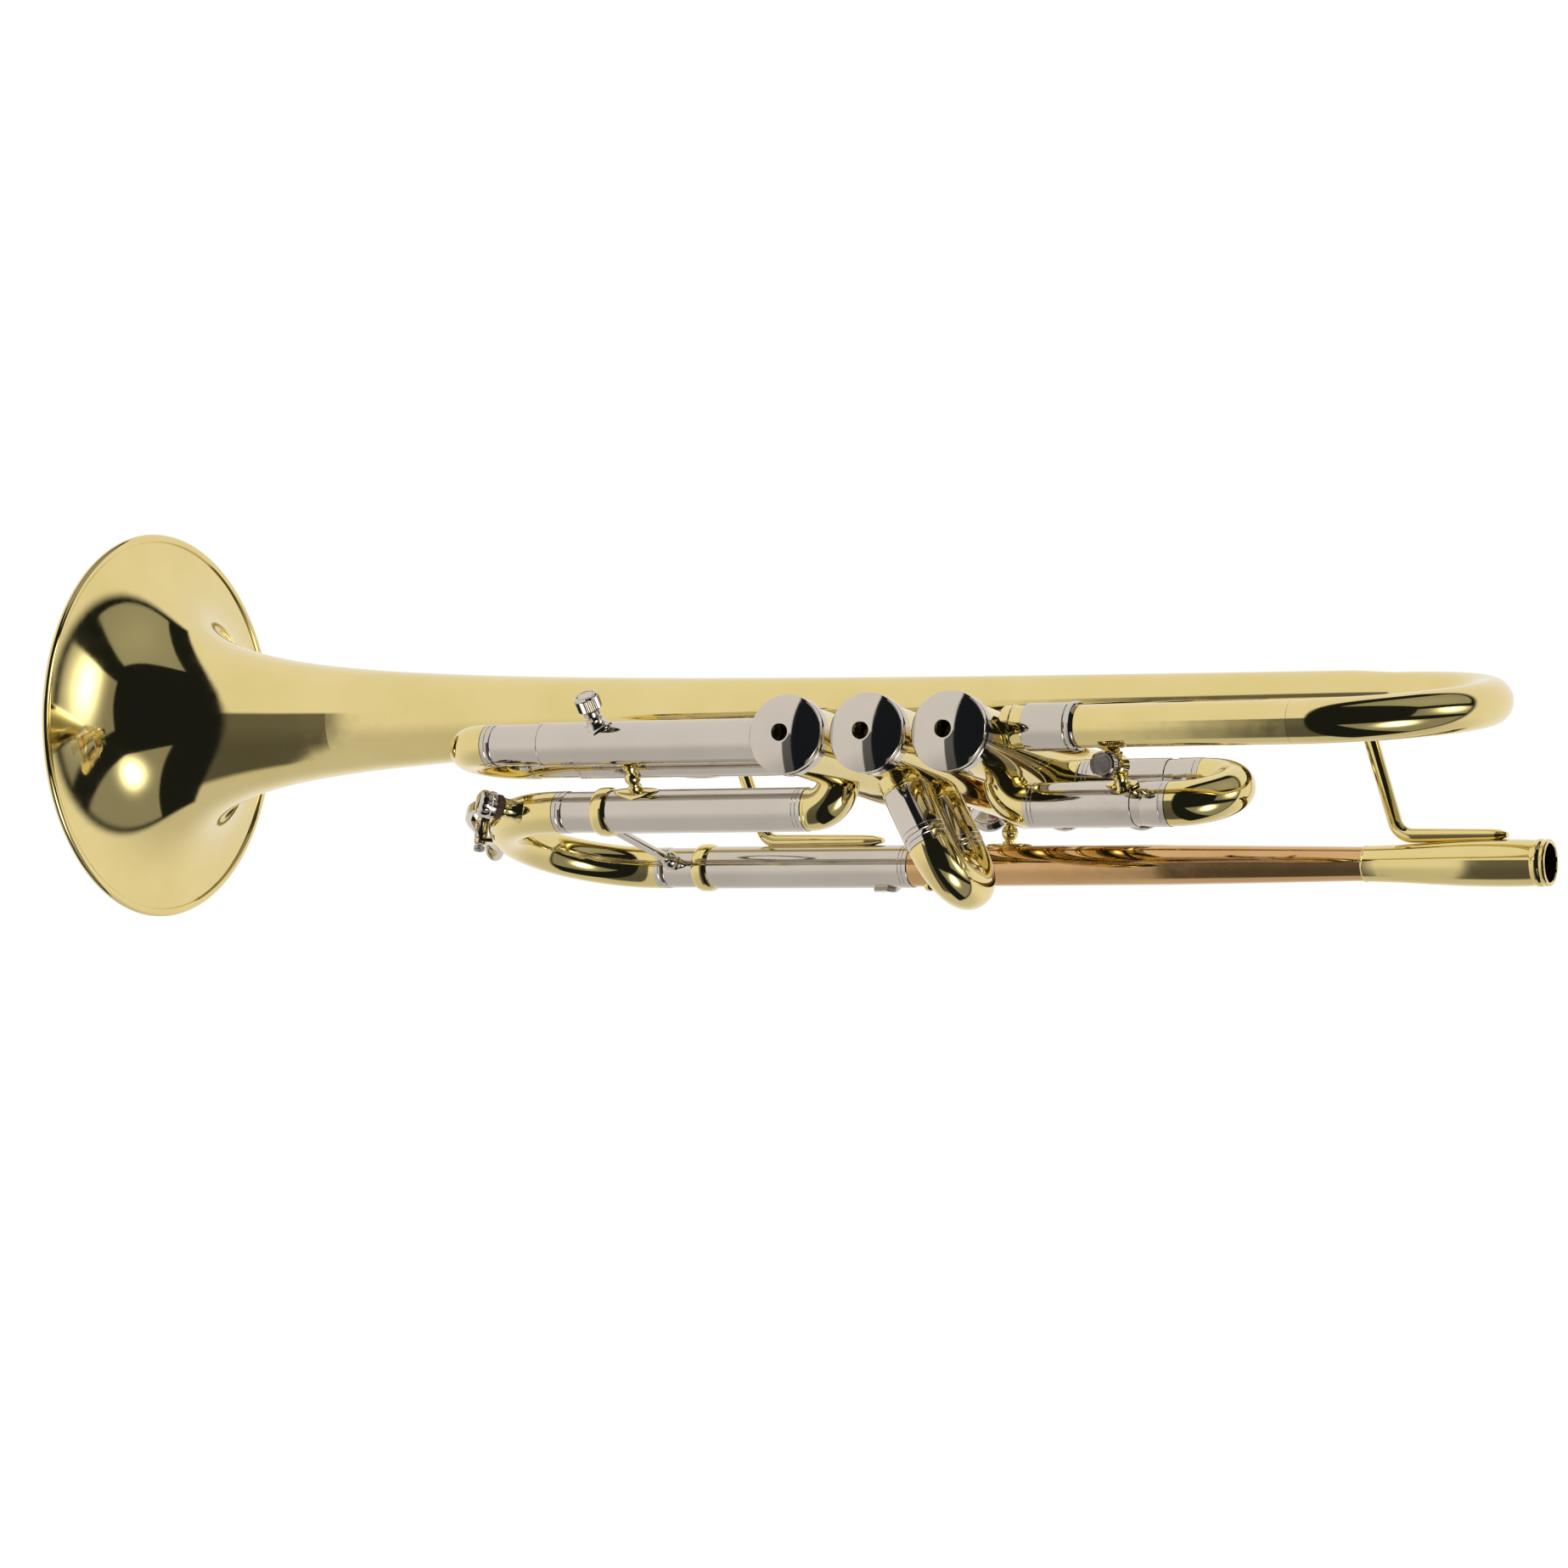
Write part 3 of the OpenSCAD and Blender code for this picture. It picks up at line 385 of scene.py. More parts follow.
def pearl():
    """Glossy shell with soft clouds."""
    n = Nodes("pearl")
    n.set(Roughness=0.12, Coat_Weight=0.6, Subsurface_Weight=0.15, Subsurface_Scale=0.002)
    clouds = n.texture("ShaderNodeTexNoise", "Fac", Scale=260.0, Detail=3.0, Distortion=2.5)
    n.paint(n.ramp(clouds, 0.0, 1.0), (0.86, 0.83, 0.78), (0.72, 0.76, 0.78))
    return n.material, "nickel_silver"


BRASS = polished("lacquered_brass", "lacquered_brass", (0.84, 0.71, 0.33), (0.80, 0.67, 0.29), 0.045, 0.4)
NICKEL = polished("nickel_silver", "nickel_silver", (0.66, 0.62, 0.57), (0.62, 0.58, 0.53), 0.05)
ROSE = polished("rose_brass", "rose_brass", (0.70, 0.45, 0.21), (0.65, 0.39, 0.17), 0.055, 0.4)
MONEL = honed("honed_monel", "monel", (0.62, 0.60, 0.56), (0.48, 0.46, 0.43), 0.22)
STEEL = honed("spring_wire", "spring_steel", (0.60, 0.58, 0.55), (0.45, 0.44, 0.42), 0.25)
FELT, CORK, PEARL = felt(), cork(), pearl()

# ---- Main dimensions, in millimetres, read from the CAD nodes ----------------


def box_mm(node):
    lo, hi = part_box(node)
    return np.array(lo) / MM, np.array(hi) / MM


def middle(node):
    lo, hi = box_mm(node)
    return (lo + hi) / 2


WALL = 0.6
BORE_R, LEG_R, TUBE_R = 5.84, 6.1, 6.45  # a slide's bore, its inner leg's outside, its outer tube's outside
CROOK_R, KNUCKLE_R = 6.3, 6.2
BELL_LO, BELL_HI = box_mm("bell")
BELL_Y = (BELL_LO[1] + BELL_HI[1]) / 2
RIM_X, RIM_R = BELL_HI[0], (BELL_HI[1] - BELL_LO[1]) / 2
STEM_X = BELL_LO[0]
VALVES = [middle(f"casing_{n}")[:2] for n in (1, 2, 3)]
CASING_Z0, CASING_Z1 = box_mm("casing_1")[0][2], box_mm("casing_1")[1][2]
CASING_R, CASING_BORE = 10.2, 8.33
CROSS_Z = (-66.0, -58.0)  # heights of the short tubes between the casings
MAIN_LOW = middle("main_leg_lower")[1:]
MAIN_SPAN = math.hypot(*MAIN_LOW)


def pair(node, radius):
    """[y, z] of the lower and the upper tube of a pair along X."""
    lo, hi = box_mm(node)
    return (lo[1] + radius, lo[2] + radius), (hi[1] - radius, hi[2] - radius)


FIRST = pair("first_legs", LEG_R)
THIRD = pair("third_legs", LEG_R)
TAIL = middle("bell_tail")[1:]


def at(x, yz):
    return np.array([x, yz[0], yz[1]])


# ---- Bell -------------------------------------------------------------------
BEAD_R = 1.5
FLARE = 6.0  # the smaller it is, the later the bell opens
BOW_X = box_mm("bell_stem")[0][0]
EASE_X = 62.0  # from here back to BOW_X the bell eases into the bow
BOW_R, TAIL_R = 6.7, 6.05


def bell_radius(x):
    """Outer radius: a long flare, eased into the bow's tube."""
    r = RIM_R * np.sqrt(FLARE / (FLARE + RIM_X - BEAD_R - x))
    ease = np.clip((x - BOW_X) / (EASE_X - BOW_X), 0, 1)
    return np.where(x < EASE_X, BOW_R + (r - BOW_R) * smooth(ease), r)


def horn(depth):
    """Outline of the bell's outside, and of its inside run back, at these distances behind the rim."""
    xs = RIM_X - BEAD_R - depth
    rs = bell_radius(xs)
    slope = np.gradient(rs, xs)
    tilt = np.sqrt(1 + slope**2)
    return list(zip(xs, rs)), list(zip(xs + WALL * slope / tilt, rs - WALL / tilt))[::-1]


def bell():
    """Flare with a rim bead that is rolled a little flat, and the stem it is brazed onto."""
    outer, inner = horn(np.geomspace(0.05, RIM_X - BEAD_R - STEM_X, 90)[::-1])
    turn = np.radians(np.linspace(215, -125, 33))
    bead_x, bead_y = RIM_X - BEAD_R, RIM_R - BEAD_R
    bead = []
    for t in turn:
        bead.append((bead_x + BEAD_R * 0.8 * math.cos(t), bead_y + BEAD_R * math.sin(t)))
    inner = [p for p in inner if p[1] < bead[-1][1]]
    outer = [p for p in outer if p[1] < bead[0][1]]
    part = lathe((0, BELL_Y, 0), X_AXIS, outer + bead + inner, closed=True, count=192)
    make("bell", [part], BRASS, sharp=50)
    outer, inner = horn(np.geomspace(RIM_X - BEAD_R - STEM_X, RIM_X - BEAD_R - BOW_X, 60)[::-1])
    part = lathe((0, BELL_Y, 0), X_AXIS, outer + inner, closed=True, count=192)
    make("bell_stem", [part], BRASS, sharp=60)


def bell_bow():
    """The half circle from the tail up to the bell, which widens on its way."""
    tail, top = np.array(TAIL), np.array([BELL_Y, 0])
    mid, span = (tail + top) / 2, np.linalg.norm(top - tail)
    up = at(0, (top - tail) / span)
    path = arc(at(BOW_X, mid), -up, -X_AXIS, span / 2, 0, 180, 96)
    grow = smooth(np.linspace(0, 1, 96))
    radii = TAIL_R + 0.1 + (BOW_R - TAIL_R - 0.1) * grow
    make("bell_bow", [hollow_sweep(path, radii, radii - WALL)], BRASS)


def bell_tail():
    """Straight tube below the bell, its ferrule, and the knuckle into the first casing."""
    lo, hi = box_mm("bell_tail")
    f_lo, f_hi = box_mm("bell_ferrule")
    taper = [(0, TAIL_R + 0.1), (30, TAIL_R), (hi[0] - lo[0], TAIL_R)]
    inside = [(d, r - WALL) for d, r in taper[::-1]]
    make("bell_tail", [lathe(at(lo[0], TAIL), X_AXIS, taper + inside, closed=True)], BRASS)
    ferrule_r = 6.75
    collar = 2.6
    parts = [
        pipe(at(hi[0], TAIL), X_AXIS, f_hi[0] - hi[0], ferrule_r, TAIL_R - WALL, 0.3),
        band(at(f_lo[0], TAIL), X_AXIS, collar, ferrule_r + 0.3, TAIL_R, 0.15),
        band(at(f_lo[0] + 0.7, TAIL), X_AXIS, 0.5, ferrule_r + 0.3, TAIL_R, 0.0),
    ]
    make("bell_ferrule", parts, NICKEL)
    end = VALVES[0][0] - CASING_R + 2
    parts = [
        pipe(at(f_hi[0], TAIL), X_AXIS, end - f_hi[0], KNUCKLE_R, TAIL_R - WALL),
        band(at(end - 3.4, TAIL), X_AXIS, 1.0, KNUCKLE_R + 0.25, KNUCKLE_R - 0.2, 0.2),
    ]
    make("bell_knuckle", parts, BRASS)


# ---- Valves -----------------------------------------------------------------

def casing(index):
    part = pipe((*VALVES[index], CASING_Z0), Z_AXIS, CASING_Z1 - CASING_Z0, CASING_R, CASING_BORE, 0.2, 96)
    make(f"casing_{index + 1}", [part], BRASS)


def bottom_caps():
    """Domed caps with a central vent, a turned rim and a knurled skirt."""
    lo, hi = box_mm("bottom_caps")
    rim_z, dome, top = lo[2] + 3.0, 3.0, hi[2]
    rim, vent = 11.4, 2.5
    face = rim - 0.5
    sphere_r = (face**2 + dome**2) / (2 * dome)
    outline = []
    for k in range(25):
        r = vent + 0.25 + (face - vent - 0.25) * k / 24
        outline.append((rim_z + sphere_r - dome - math.sqrt(sphere_r**2 - r * r), r))
    outline += corner(rim_z, rim, (0.22, -0.16), (0.5, 0), (1.9, 0), (2.2, -0.14), (2.5, -0.42), (2.8, -0.42),
                      (3.1, -0.12))
    outline += corner(top, rim, (-0.5, -0.12), (-0.2, -0.3), (0, -0.6))
    outline += [
        (top, CASING_R + 0.02), (CASING_Z0, CASING_R + 0.02), (CASING_Z0 - 0.1, 8.7), (rim_z - 0.6, 8.7),
        (rim_z - 1.5, vent + 0.3), (rim_z - 1.7, vent), (lo[2] + 0.25, vent),
    ]
    parts = [
        lathe((x, y, 0), Z_AXIS, outline, closed=True, count=192, teeth=48, depth=0.22,
              toothed=[(rim_z + 3.3, top - 0.6)])
        for x, y in VALVES
    ]
    make("bottom_caps", parts, NICKEL, sharp=30)


def top_caps():
    """Caps with a knurled skirt and a neck that the button's stem runs through."""
    lo, hi = box_mm("top_caps")
    z0, top = lo[2], hi[2]
    stem, neck, skirt = 2.6, 7.0, 11.2
    seat = CASING_Z1
    outline = [
        (z0, CASING_R + 0.02),
        *corner(z0, skirt, (0, -0.3), (0.3, 0), (0.9, 0), (1.1, -0.2), (1.4, 0)),
        *corner(seat, skirt, (-0.2, 0), (0.4, -0.15), (0.9, -0.6), (1.1, -1.4)),
        *corner(seat, neck, (1.5, 2.2), (2.3, 0.8), (3.4, 0)),
        *corner(top, neck, (-0.9, -0.1), (-0.7, 0), (-0.2, 0), (0, -0.3)),
        (top, stem), (seat + 0.6, stem), (seat + 0.6, CASING_BORE), (seat + 0.02, CASING_BORE),
        (seat + 0.02, CASING_R + 0.02),
    ]
    parts = [
        lathe((x, y, 0), Z_AXIS, outline, closed=True, count=192, teeth=48, depth=0.2,
              toothed=[(z0 + 1.5, seat - 0.3)])
        for x, y in VALVES
    ]
    make("top_caps", parts, NICKEL, sharp=30)


def valve_felts():
    lo, hi = box_mm("valve_felts")
    parts = []
    for x, y in VALVES:
        for z, r, h in ((hi[2] - 1.5, 6.4, 1.5), (lo[2], 7.6, 2.5)):
            parts.append(band((x, y, z), Z_AXIS, h, r, 2.9, 0.25, 96))
    make("valve_felts", parts, FELT)


def button(index):
    """Stem, button with a turned rim, and its pearl."""
    x, y = VALVES[index]
    lo, hi = box_mm(f"button_{index + 1}")
    base, r = hi[2] - 4.22, (hi[0] - lo[0]) / 2
    stem = 2.5
    pearl_r, seat = r - 1.5, base + 2.6
    outline = [
        (lo[2], 0.02), *corner(lo[2], stem, (0, -0.7), (1.4, -0.7), (1.5, 0)),
        *corner(base, stem, (0.02, 0), (0.1, 1.8)),
        *corner(base, r, (0.15, -2.2), (0.7, -1.2), (1.5, -0.35), (2.4, 0), (3.2, -0.02), (3.8, -0.3),
                (4, -0.8), (3.9, -1.3)),
        (base + 3.6, pearl_r), (seat, pearl_r), (seat, 0.02),
    ]
    body = f"valve_{index + 1}"
    make(f"button_{index + 1}", [lathe((x, y, 0), Z_AXIS, outline, count=96)], NICKEL, body)
    top = [(seat, 0.02), (seat, pearl_r - 0.02), (base + 3.5, pearl_r - 0.02)]
    dip = 0.35
    for k in range(1, 13):
        t = k / 12
        top.append((base + 3.9 - dip * smooth(t) + 0.2 * math.sin(math.pi * min(t * 4, 1)) * 0.5,
                    max((pearl_r - 0.1) * (1 - t), 0.02)))
    make(f"pearl_{index + 1}", [lathe((x, y, 0), Z_AXIS, top, count=96)], PEARL, body, False, 50)


def spring(index):
    """Compression spring with closed ends, which rides on the piston."""
    node = f"spring_{index + 1}"
    lo, hi = box_mm(node)
    x, y = VALVES[index]
    wire, turns, dead = 0.45, 9.0, 1.0
    r = (hi[0] - lo[0]) / 2 - wire
    length = hi[2] - lo[2] - 2 * wire
    steps = int(turns * 28)
    t = np.linspace(0, turns, steps)
    pitch = (length - 2 * dead * 2 * wire) / (turns - 2 * dead)
    rise = np.where(t < dead, t * 2 * wire, dead * 2 * wire + (t - dead) * pitch)
    tail = turns - dead
    rise = np.where(t > tail, length - (turns - t) * 2 * wire, rise)
    path = np.stack([x + r * np.cos(TAU * t), y + r * np.sin(TAU * t), lo[2] + wire + rise], 1)
    obj = make(node, [sweep(path, wire, 12)], STEEL, f"valve_{index + 1}", sharp=60)
    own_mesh(obj)


# ---- Short tubes at the casings ---------------------------------------------


def joint_ring(start, along, r):
    """Thin raised ring where two tubes are joined."""
    return band(start, along, 1.0, r + 0.22, r - 0.2, 0.15)


def port_knuckles():
    """Short tubes between the casings, and from them to the slides."""
    x1, x2, x3 = (v[0] for v in VALVES)
    y = VALVES[0][1]
    small = KNUCKLE_R - 0.3
    start_3 = box_mm("third_tubes")[0][0]
    parts = []
    gap = CASING_BORE + 0.01
    for xa, xb, z in zip((x1, x2), (x2, x3), CROSS_Z):
        parts.append(pipe((xa + gap, y, z), X_AXIS, xb - xa - 2 * gap, small, small - 1))
    for yz in THIRD:
        begin = x3 + CASING_R - 1.5
        parts.append(pipe(at(begin, yz), X_AXIS, start_3 - begin, KNUCKLE_R, KNUCKLE_R - 1))
    end = x1 - CASING_R + 2.5
    up_x = box_mm("port_knuckles")[0][0]
    parts.append(pipe(at(up_x, FIRST[1]), X_AXIS, end - up_x, KNUCKLE_R, KNUCKLE_R - 1))
    parts.append(joint_ring(at(up_x, FIRST[1]), X_AXIS, KNUCKLE_R))
    for z in SECOND_Z:
        begin = 8.0
        length = SECOND_TUBE - begin
        parts.append(pipe(second_point(begin, z), SECOND_DIR, length, KNUCKLE_R, KNUCKLE_R - 1))
        parts.append(joint_ring(second_point(SECOND_TUBE - 1.2, z), SECOND_DIR, KNUCKLE_R))
    make("port_knuckles", parts, BRASS)


# Second slide: it leaves its casing slantwise to the right
SECOND_DIR = unit(JOINTS["second_slide_pull"]["axis"])
SECOND_SIDE = np.array([-SECOND_DIR[1], SECOND_DIR[0], 0])
SECOND_SHIFT = 4.6
SECOND_TUBE, SECOND_TUBE_END, SECOND_CROOK = 13.0, 27.5, 30.7
SECOND_Z = (box_mm("second_legs")[0][2] + LEG_R, box_mm("second_legs")[1][2] - LEG_R)


def second_point(distance, z):
    x, y = VALVES[1]
    return np.array([x, y, z]) + distance * SECOND_DIR + SECOND_SHIFT * SECOND_SIDE


def elbow(name, index, low, radius, side):
    """Bend from a port on a casing's right to a tube along X: side 1 forwards, -1 backwards."""
    x = VALVES[index][0] + side * radius
    centre = at(x, (low[0] + radius, low[1]))
    path = arc(centre, -side * X_AXIS, -Y_AXIS, radius, -8, 90, 32)
    parts = [hollow_sweep(path, KNUCKLE_R, KNUCKLE_R - 1)]
    lo, hi = box_mm(name)
    end = hi[0] if side > 0 else lo[0]
    if abs(end - x) > 0.5:
        parts.append(pipe(at(min(x, end), low), X_AXIS, abs(end - x), KNUCKLE_R, KNUCKLE_R - 1))
    make(name, parts, BRASS)


# ---- Leadpipe and receiver ---------------------------------------------------


def leadpipe_radius(xs):
    """Outer radius: a steep taper near the receiver that eases into a gentle one."""
    return np.interp(xs, [30, 60, 90, 117, 200], [4.5, 4.97, 5.45, 5.83, 6.09])


def leadpipe():
    lo, hi = box_mm("leadpipe")
    xs = np.linspace(lo[0], hi[0], 60)
    radii = leadpipe_radius(xs)
    outline = list(zip(xs, radii)) + list(zip(xs, radii - WALL))[::-1]
    make("leadpipe", [lathe((0, 0, 0), X_AXIS, outline, closed=True, count=96)], ROSE)


def receiver():
    """Mouthpiece receiver: two end rings, a swelling body and a waist where it grips the leadpipe."""
    end = box_mm("mouthpiece_receiver")[1][0]
    body = [(4.6, 6.5), (8, 6.64), (13, 6.7), (20, 6.62), (27, 6.4), (35, 5.98), (44, 5.46), (end - 4, 5.2)]
    outline = [
        (0.25, 5.5), (0, 5.75), (0, 6.3), (0.15, 6.55), (0.5, 6.68), (1.1, 6.68), (1.4, 6.5), (1.7, 6.45),
        (2.0, 6.6), (2.4, 6.78), (3.4, 6.78), (3.8, 6.6), (4.1, 6.46),
    ]
    outline += catmull(np.array(body), 5).tolist()
    outline += [(end - 0.6, 5.15), (end - 0.5, 5.3), (end - 0.1, 5.28), (end, 5.1), (end, 4.91), (30, 4.5),
                (30, 4.2), (28, 4.2), (27, 4.95), (6, 5.5)]
    make("mouthpiece_receiver", [lathe((0, 0, 0), X_AXIS, outline, closed=True, count=96)], BRASS)


# ---- Fixed slide tubes -------------------------------------------------------


def fixed_tube(start, along, length, grooves=()):
    """Outer slide tube with fine turned grooves at these distances from its start."""
    outline = [(0, 6.2), (0, TUBE_R - 0.1), (0.1, TUBE_R)]
    for d in grooves:
        outline += corner(d, TUBE_R, (-0.2, 0), (-0.08, -0.14), (0.08, -0.14), (0.2, 0))
    outline += [(length - 0.1, TUBE_R), (length, TUBE_R - 0.1), (length, 6.2)]
    return lathe(start, along, outline, closed=True, count=96)


def fixed_tubes():
    """Outer tubes of all four slides, with one or two turned grooves near an end."""
    double = (1.4, 2.6)
    for name, yz in (("main_tube_upper", (0, 0)), ("main_tube_lower", MAIN_LOW)):
        lo, hi = box_mm(name)
        make(name, [fixed_tube(at(lo[0], yz), X_AXIS, hi[0] - lo[0], double)], NICKEL)
    lo, hi = box_mm("third_tubes")
    length = hi[0] - lo[0]
    parts = [fixed_tube(at(lo[0], yz), X_AXIS, length, (length - 1.4,)) for yz in THIRD]
    make("third_tubes", parts, NICKEL)
    lo = box_mm("first_tubes")[0][0]
    ends = (box_mm("first_elbow")[0][0], box_mm("port_knuckles")[0][0])
    parts = [fixed_tube(at(e, yz), -X_AXIS, e - lo, double) for yz, e in zip(FIRST, ends)]
    make("first_tubes", parts, NICKEL)
    length = SECOND_TUBE_END - SECOND_TUBE
    starts = [second_point(SECOND_TUBE, z) for z in SECOND_Z]
    parts = [fixed_tube(start, SECOND_DIR, length, (length - 1.4,)) for start in starts]
    make("second_tubes", parts, NICKEL)


def tube_rings():
    lo, hi = box_mm("tube_rings")
    parts = []
    for yz in ((0, 0), MAIN_LOW):
        parts.append(band(at(lo[0], yz), X_AXIS, hi[0] - lo[0], 7.3, 6.15, 0.22, 96))
    make("tube_rings", parts, BRASS)


# ---- Braces and posts --------------------------------------------------------


def post(start, end, waist=1.5, ball_r=2.6):
    """Turned post: a ball between two rings, flaring into a foot at each end."""
    start, end = np.asarray(start, float), np.asarray(end, float)
    h = np.linalg.norm(end - start)
    m = h / 2
    outline = [(0, waist + 1.6), (0.5, waist + 1.0), (1.3, waist + 0.3), (2.2, waist)]
    half = [(m - ball_r - 1.4, waist), (m - ball_r - 1.1, waist + 0.6), (m - ball_r - 0.4, waist + 0.6),
            (m - ball_r - 0.15, waist - 0.1)]
    half = [p for p in outline if p[0] < half[0][0]] + half
    outline = half + bulb(m, ball_r, waist - 0.1) + [(h - d, r) for d, r in half[::-1]]
    return lathe(start, end - start, outline, count=48)


def diamond(x, yz, radius, turn, length, width, thick=0.7):
    """Diamond plate with hollow sides, wrapped on a tube along X. Turn 0 faces +Y, 90 faces +Z."""
    rows, cols = 25, 11
    top, bottom = [], []
    for i in range(rows):
        s = 2 * i / (rows - 1) - 1
        half = width / 2 * (1 - abs(s)) ** 0.72 + 0.35
        for j in range(cols):
            t = 2 * j / (cols - 1) - 1
            a = math.radians(turn) + t * half / radius
            edge = max(abs(t), abs(s))
            for out, r in ((top, radius + thick * (1 - edge**6 * 0.7)), (bottom, radius - 0.25)):
                out.append((x + s * length / 2, yz[0] + r * math.cos(a), yz[1] + r * math.sin(a)))
    n = rows * cols
    faces = []
    for i in range(rows - 1):
        for j in range(cols - 1):
            a = i * cols + j
            faces.append((a, a + 1, a + cols + 1, a + cols))
            faces.append((n + a, n + a + cols, n + a + cols + 1, n + a + 1))
    edge = [*range(cols), *range(2 * cols - 1, n, cols)]
    edge += [*range(n - 2, n - cols - 1, -1), *range(n - 2 * cols, 0, -cols)]
    for a, b in zip(edge, edge[1:] + edge[:1]):
        faces.append((a, n + a, n + b, b))
    return np.array(top + bottom), faces


def turned_towards(a, b):
    return math.degrees(math.atan2(b[1] - a[1], b[0] - a[0]))


def valve_posts():
    """Posts from the second casing to the leadpipe and to the bell."""
    x, y = VALVES[1]
    pipe_r = 5.95
    parts = [post((x, 5.5, 0), (x, y - CASING_R + 0.4, 0), 1.5, 2.5), diamond(x, (0, 0), pipe_r, 0, 15, 7)]
    bell_r = float(bell_radius(np.array(x)))
    parts.append(post((x, y + CASING_R - 0.4, 0), (x, BELL_Y - bell_r + 0.3, 0), 1.4, 1.8))
    parts.append(diamond(x, (BELL_Y, 0), bell_r, 180, 13, 7, 0.5))
    make("valve_posts", parts, BRASS)


def slide_post():
    """Post from the main slide's lower tube to the third slide's lower tube."""
    x = middle("slide_post")[0]
    a, b = MAIN_LOW, THIRD[0]
    run = unit(at(0, b) - at(0, a))
    turn = turned_towards(a, b)
    start, end = at(x, a) + run * (TUBE_R - 0.2), at(x, b) - run * (TUBE_R - 0.2)
    parts = [post(start, end, 1.5, 2.5), diamond(x, a, TUBE_R, turn, 15, 7),
             diamond(x, b, TUBE_R, turn + 180, 9, 6, 0.5)]
    make("slide_post", parts, BRASS)


BRACE_R = 2.1
BRACE_BEND = 6.0  # radius of a bend's centre line


def brace(name, y1, turn, foot_0, foot_1):
    """S-shaped brace: a foot along the leadpipe, a rod slanting by turn, and a foot along the bell at y1."""
    y0, bend = 8.0, BRACE_BEND
    a = math.radians(turn)
    rod = (y1 - y0 - 2 * bend * (1 - math.cos(a))) / math.sin(a)
    reach = 2 * bend * math.sin(a) + rod * math.cos(a)
    x = box_mm(name)[0][0] + foot_0
    straight_0 = np.linspace((x - foot_0, y0, 0), (x - 1, y0, 0), 12)
    straight_1 = np.linspace((x + reach + 1, y1, 0), (x + reach + foot_1, y1, 0), 12)
    first = arc((x, y0 + bend, 0), -Y_AXIS, X_AXIS, bend, 0, turn, 14)
    last = arc((x + reach, y1 - bend, 0), Y_AXIS, -X_AXIS, bend, turn, 0, 14)
    path = np.concatenate([straight_0, first, last, straight_1])
    blunt = np.interp(np.linspace(0, 1, 12), [0, 0.04, 0.12, 1], [0.0, 0.45, 0.75, 1.0])
    full = np.concatenate([blunt, np.ones(28), blunt[::-1]])
    rings = []
    for p, t, f in zip(path, np.gradient(path, axis=0), full):
        side = unit(np.cross(Z_AXIS, t))
        rings.append(ring(p, side * (0.35 + 0.65 * f), Z_AXIS * (0.6 + 0.4 * f), BRACE_R, 32))
    make(name, [skin(rings)], BRASS, sharp=60)


def braces():
    """The feet along the bell lie closer to its axis at the rear, where the tube is thinner."""
    brace("front_brace", BELL_Y - 11.6, 66.0, 36.0, 30.0)
    brace("rear_brace", BELL_Y - 8.7, 71.0, 28.0, 26.0)


def knurled_screw(start, along, stem, head_r=3.7, head_h=4.6):
    """Thumb screw with a collar, a knurled head and a turned ring on its face."""
    h = stem + head_h
    outline = [
        (0, 0.02), (0, 1.3), (0.3, 1.5),
        *corner(stem, 0, (-2.1, 1.5), (-2, 2.3), (-1.7, 2.6), (-0.5, 2.6), (-0.2, 2.2), (0, 2.3)),
        *corner(stem, head_r, (0, -0.5), (0.35, 0), (0.4, 0)),
        *corner(h, head_r, (-0.75, 0), (-0.7, 0), (-0.35, -0.05), (0, -0.5), (0, -0.9), (-0.3, -1.0),
                (-0.3, -1.3), (0, -1.4)),
        (h, 0.02),
    ]
    return lathe(start, along, outline, count=144, teeth=36, depth=0.28, toothed=[(stem + 0.38, h - 0.72)])


def lyre_holder():
    """Post from the bell tail to the first slide, with a hub for the lyre screw, and that screw."""
    x = middle("lyre_holder")[0]
    tail, low = np.array(TAIL), np.array(FIRST[0])
    run = unit(at(0, low) - at(0, tail))
    turn = turned_towards(tail, low)
    way = np.array(JOINTS["lyre_screw_turn"]["axis"])
    mid = at(x, (tail + low) / 2)
    parts = [post(at(x, tail) + run * TAIL_R, at(x, low) - run * TUBE_R, 1.8, 2.4)]
    hub = [(-2.6, 1.55), (-2.6, 2.5), (-2.2, 2.9), (2.2, 2.9), (2.6, 2.5), (2.6, 1.55)]
    parts += [
        lathe(mid, way, hub, closed=True, count=48),
        diamond(x, tail, TAIL_R, turn, 10, 6),
        diamond(x, low, TUBE_R, turn + 180, 10, 6),
    ]
    make("lyre_holder", parts, BRASS)
    make("lyre_screw", [knurled_screw(mid + 0.3 * way, way, 6.4)], NICKEL, "lyre_screw", sharp=30)


def lock():
    """Saddle and boss on the third slide, and the screw that locks it."""
    way = np.array(JOINTS["lock_screw_turn"]["axis"])
    root = np.array(JOINTS["lock_screw_turn"]["pos_m"]) / MM
    x = root[0]
    turn = math.degrees(math.atan2(way[2], way[1]))
    boss = corner(TUBE_R, 0, (-0.4, 1.55), (-0.4, 3.4), (0.6, 2.9), (1.0, 2.6), (2.3, 2.6), (2.6, 2.3),
                  (2.6, 1.55))
    parts = [diamond(x, THIRD[0], TUBE_R, turn, 9, 8), lathe(root, way, boss, closed=True, count=48)]
    make("lock_saddle", parts, NICKEL)
    screw = knurled_screw(root + (TUBE_R + 0.35) * way, way, 5.0)
    make("lock_screw", [screw], NICKEL, "lock_screw", sharp=30)


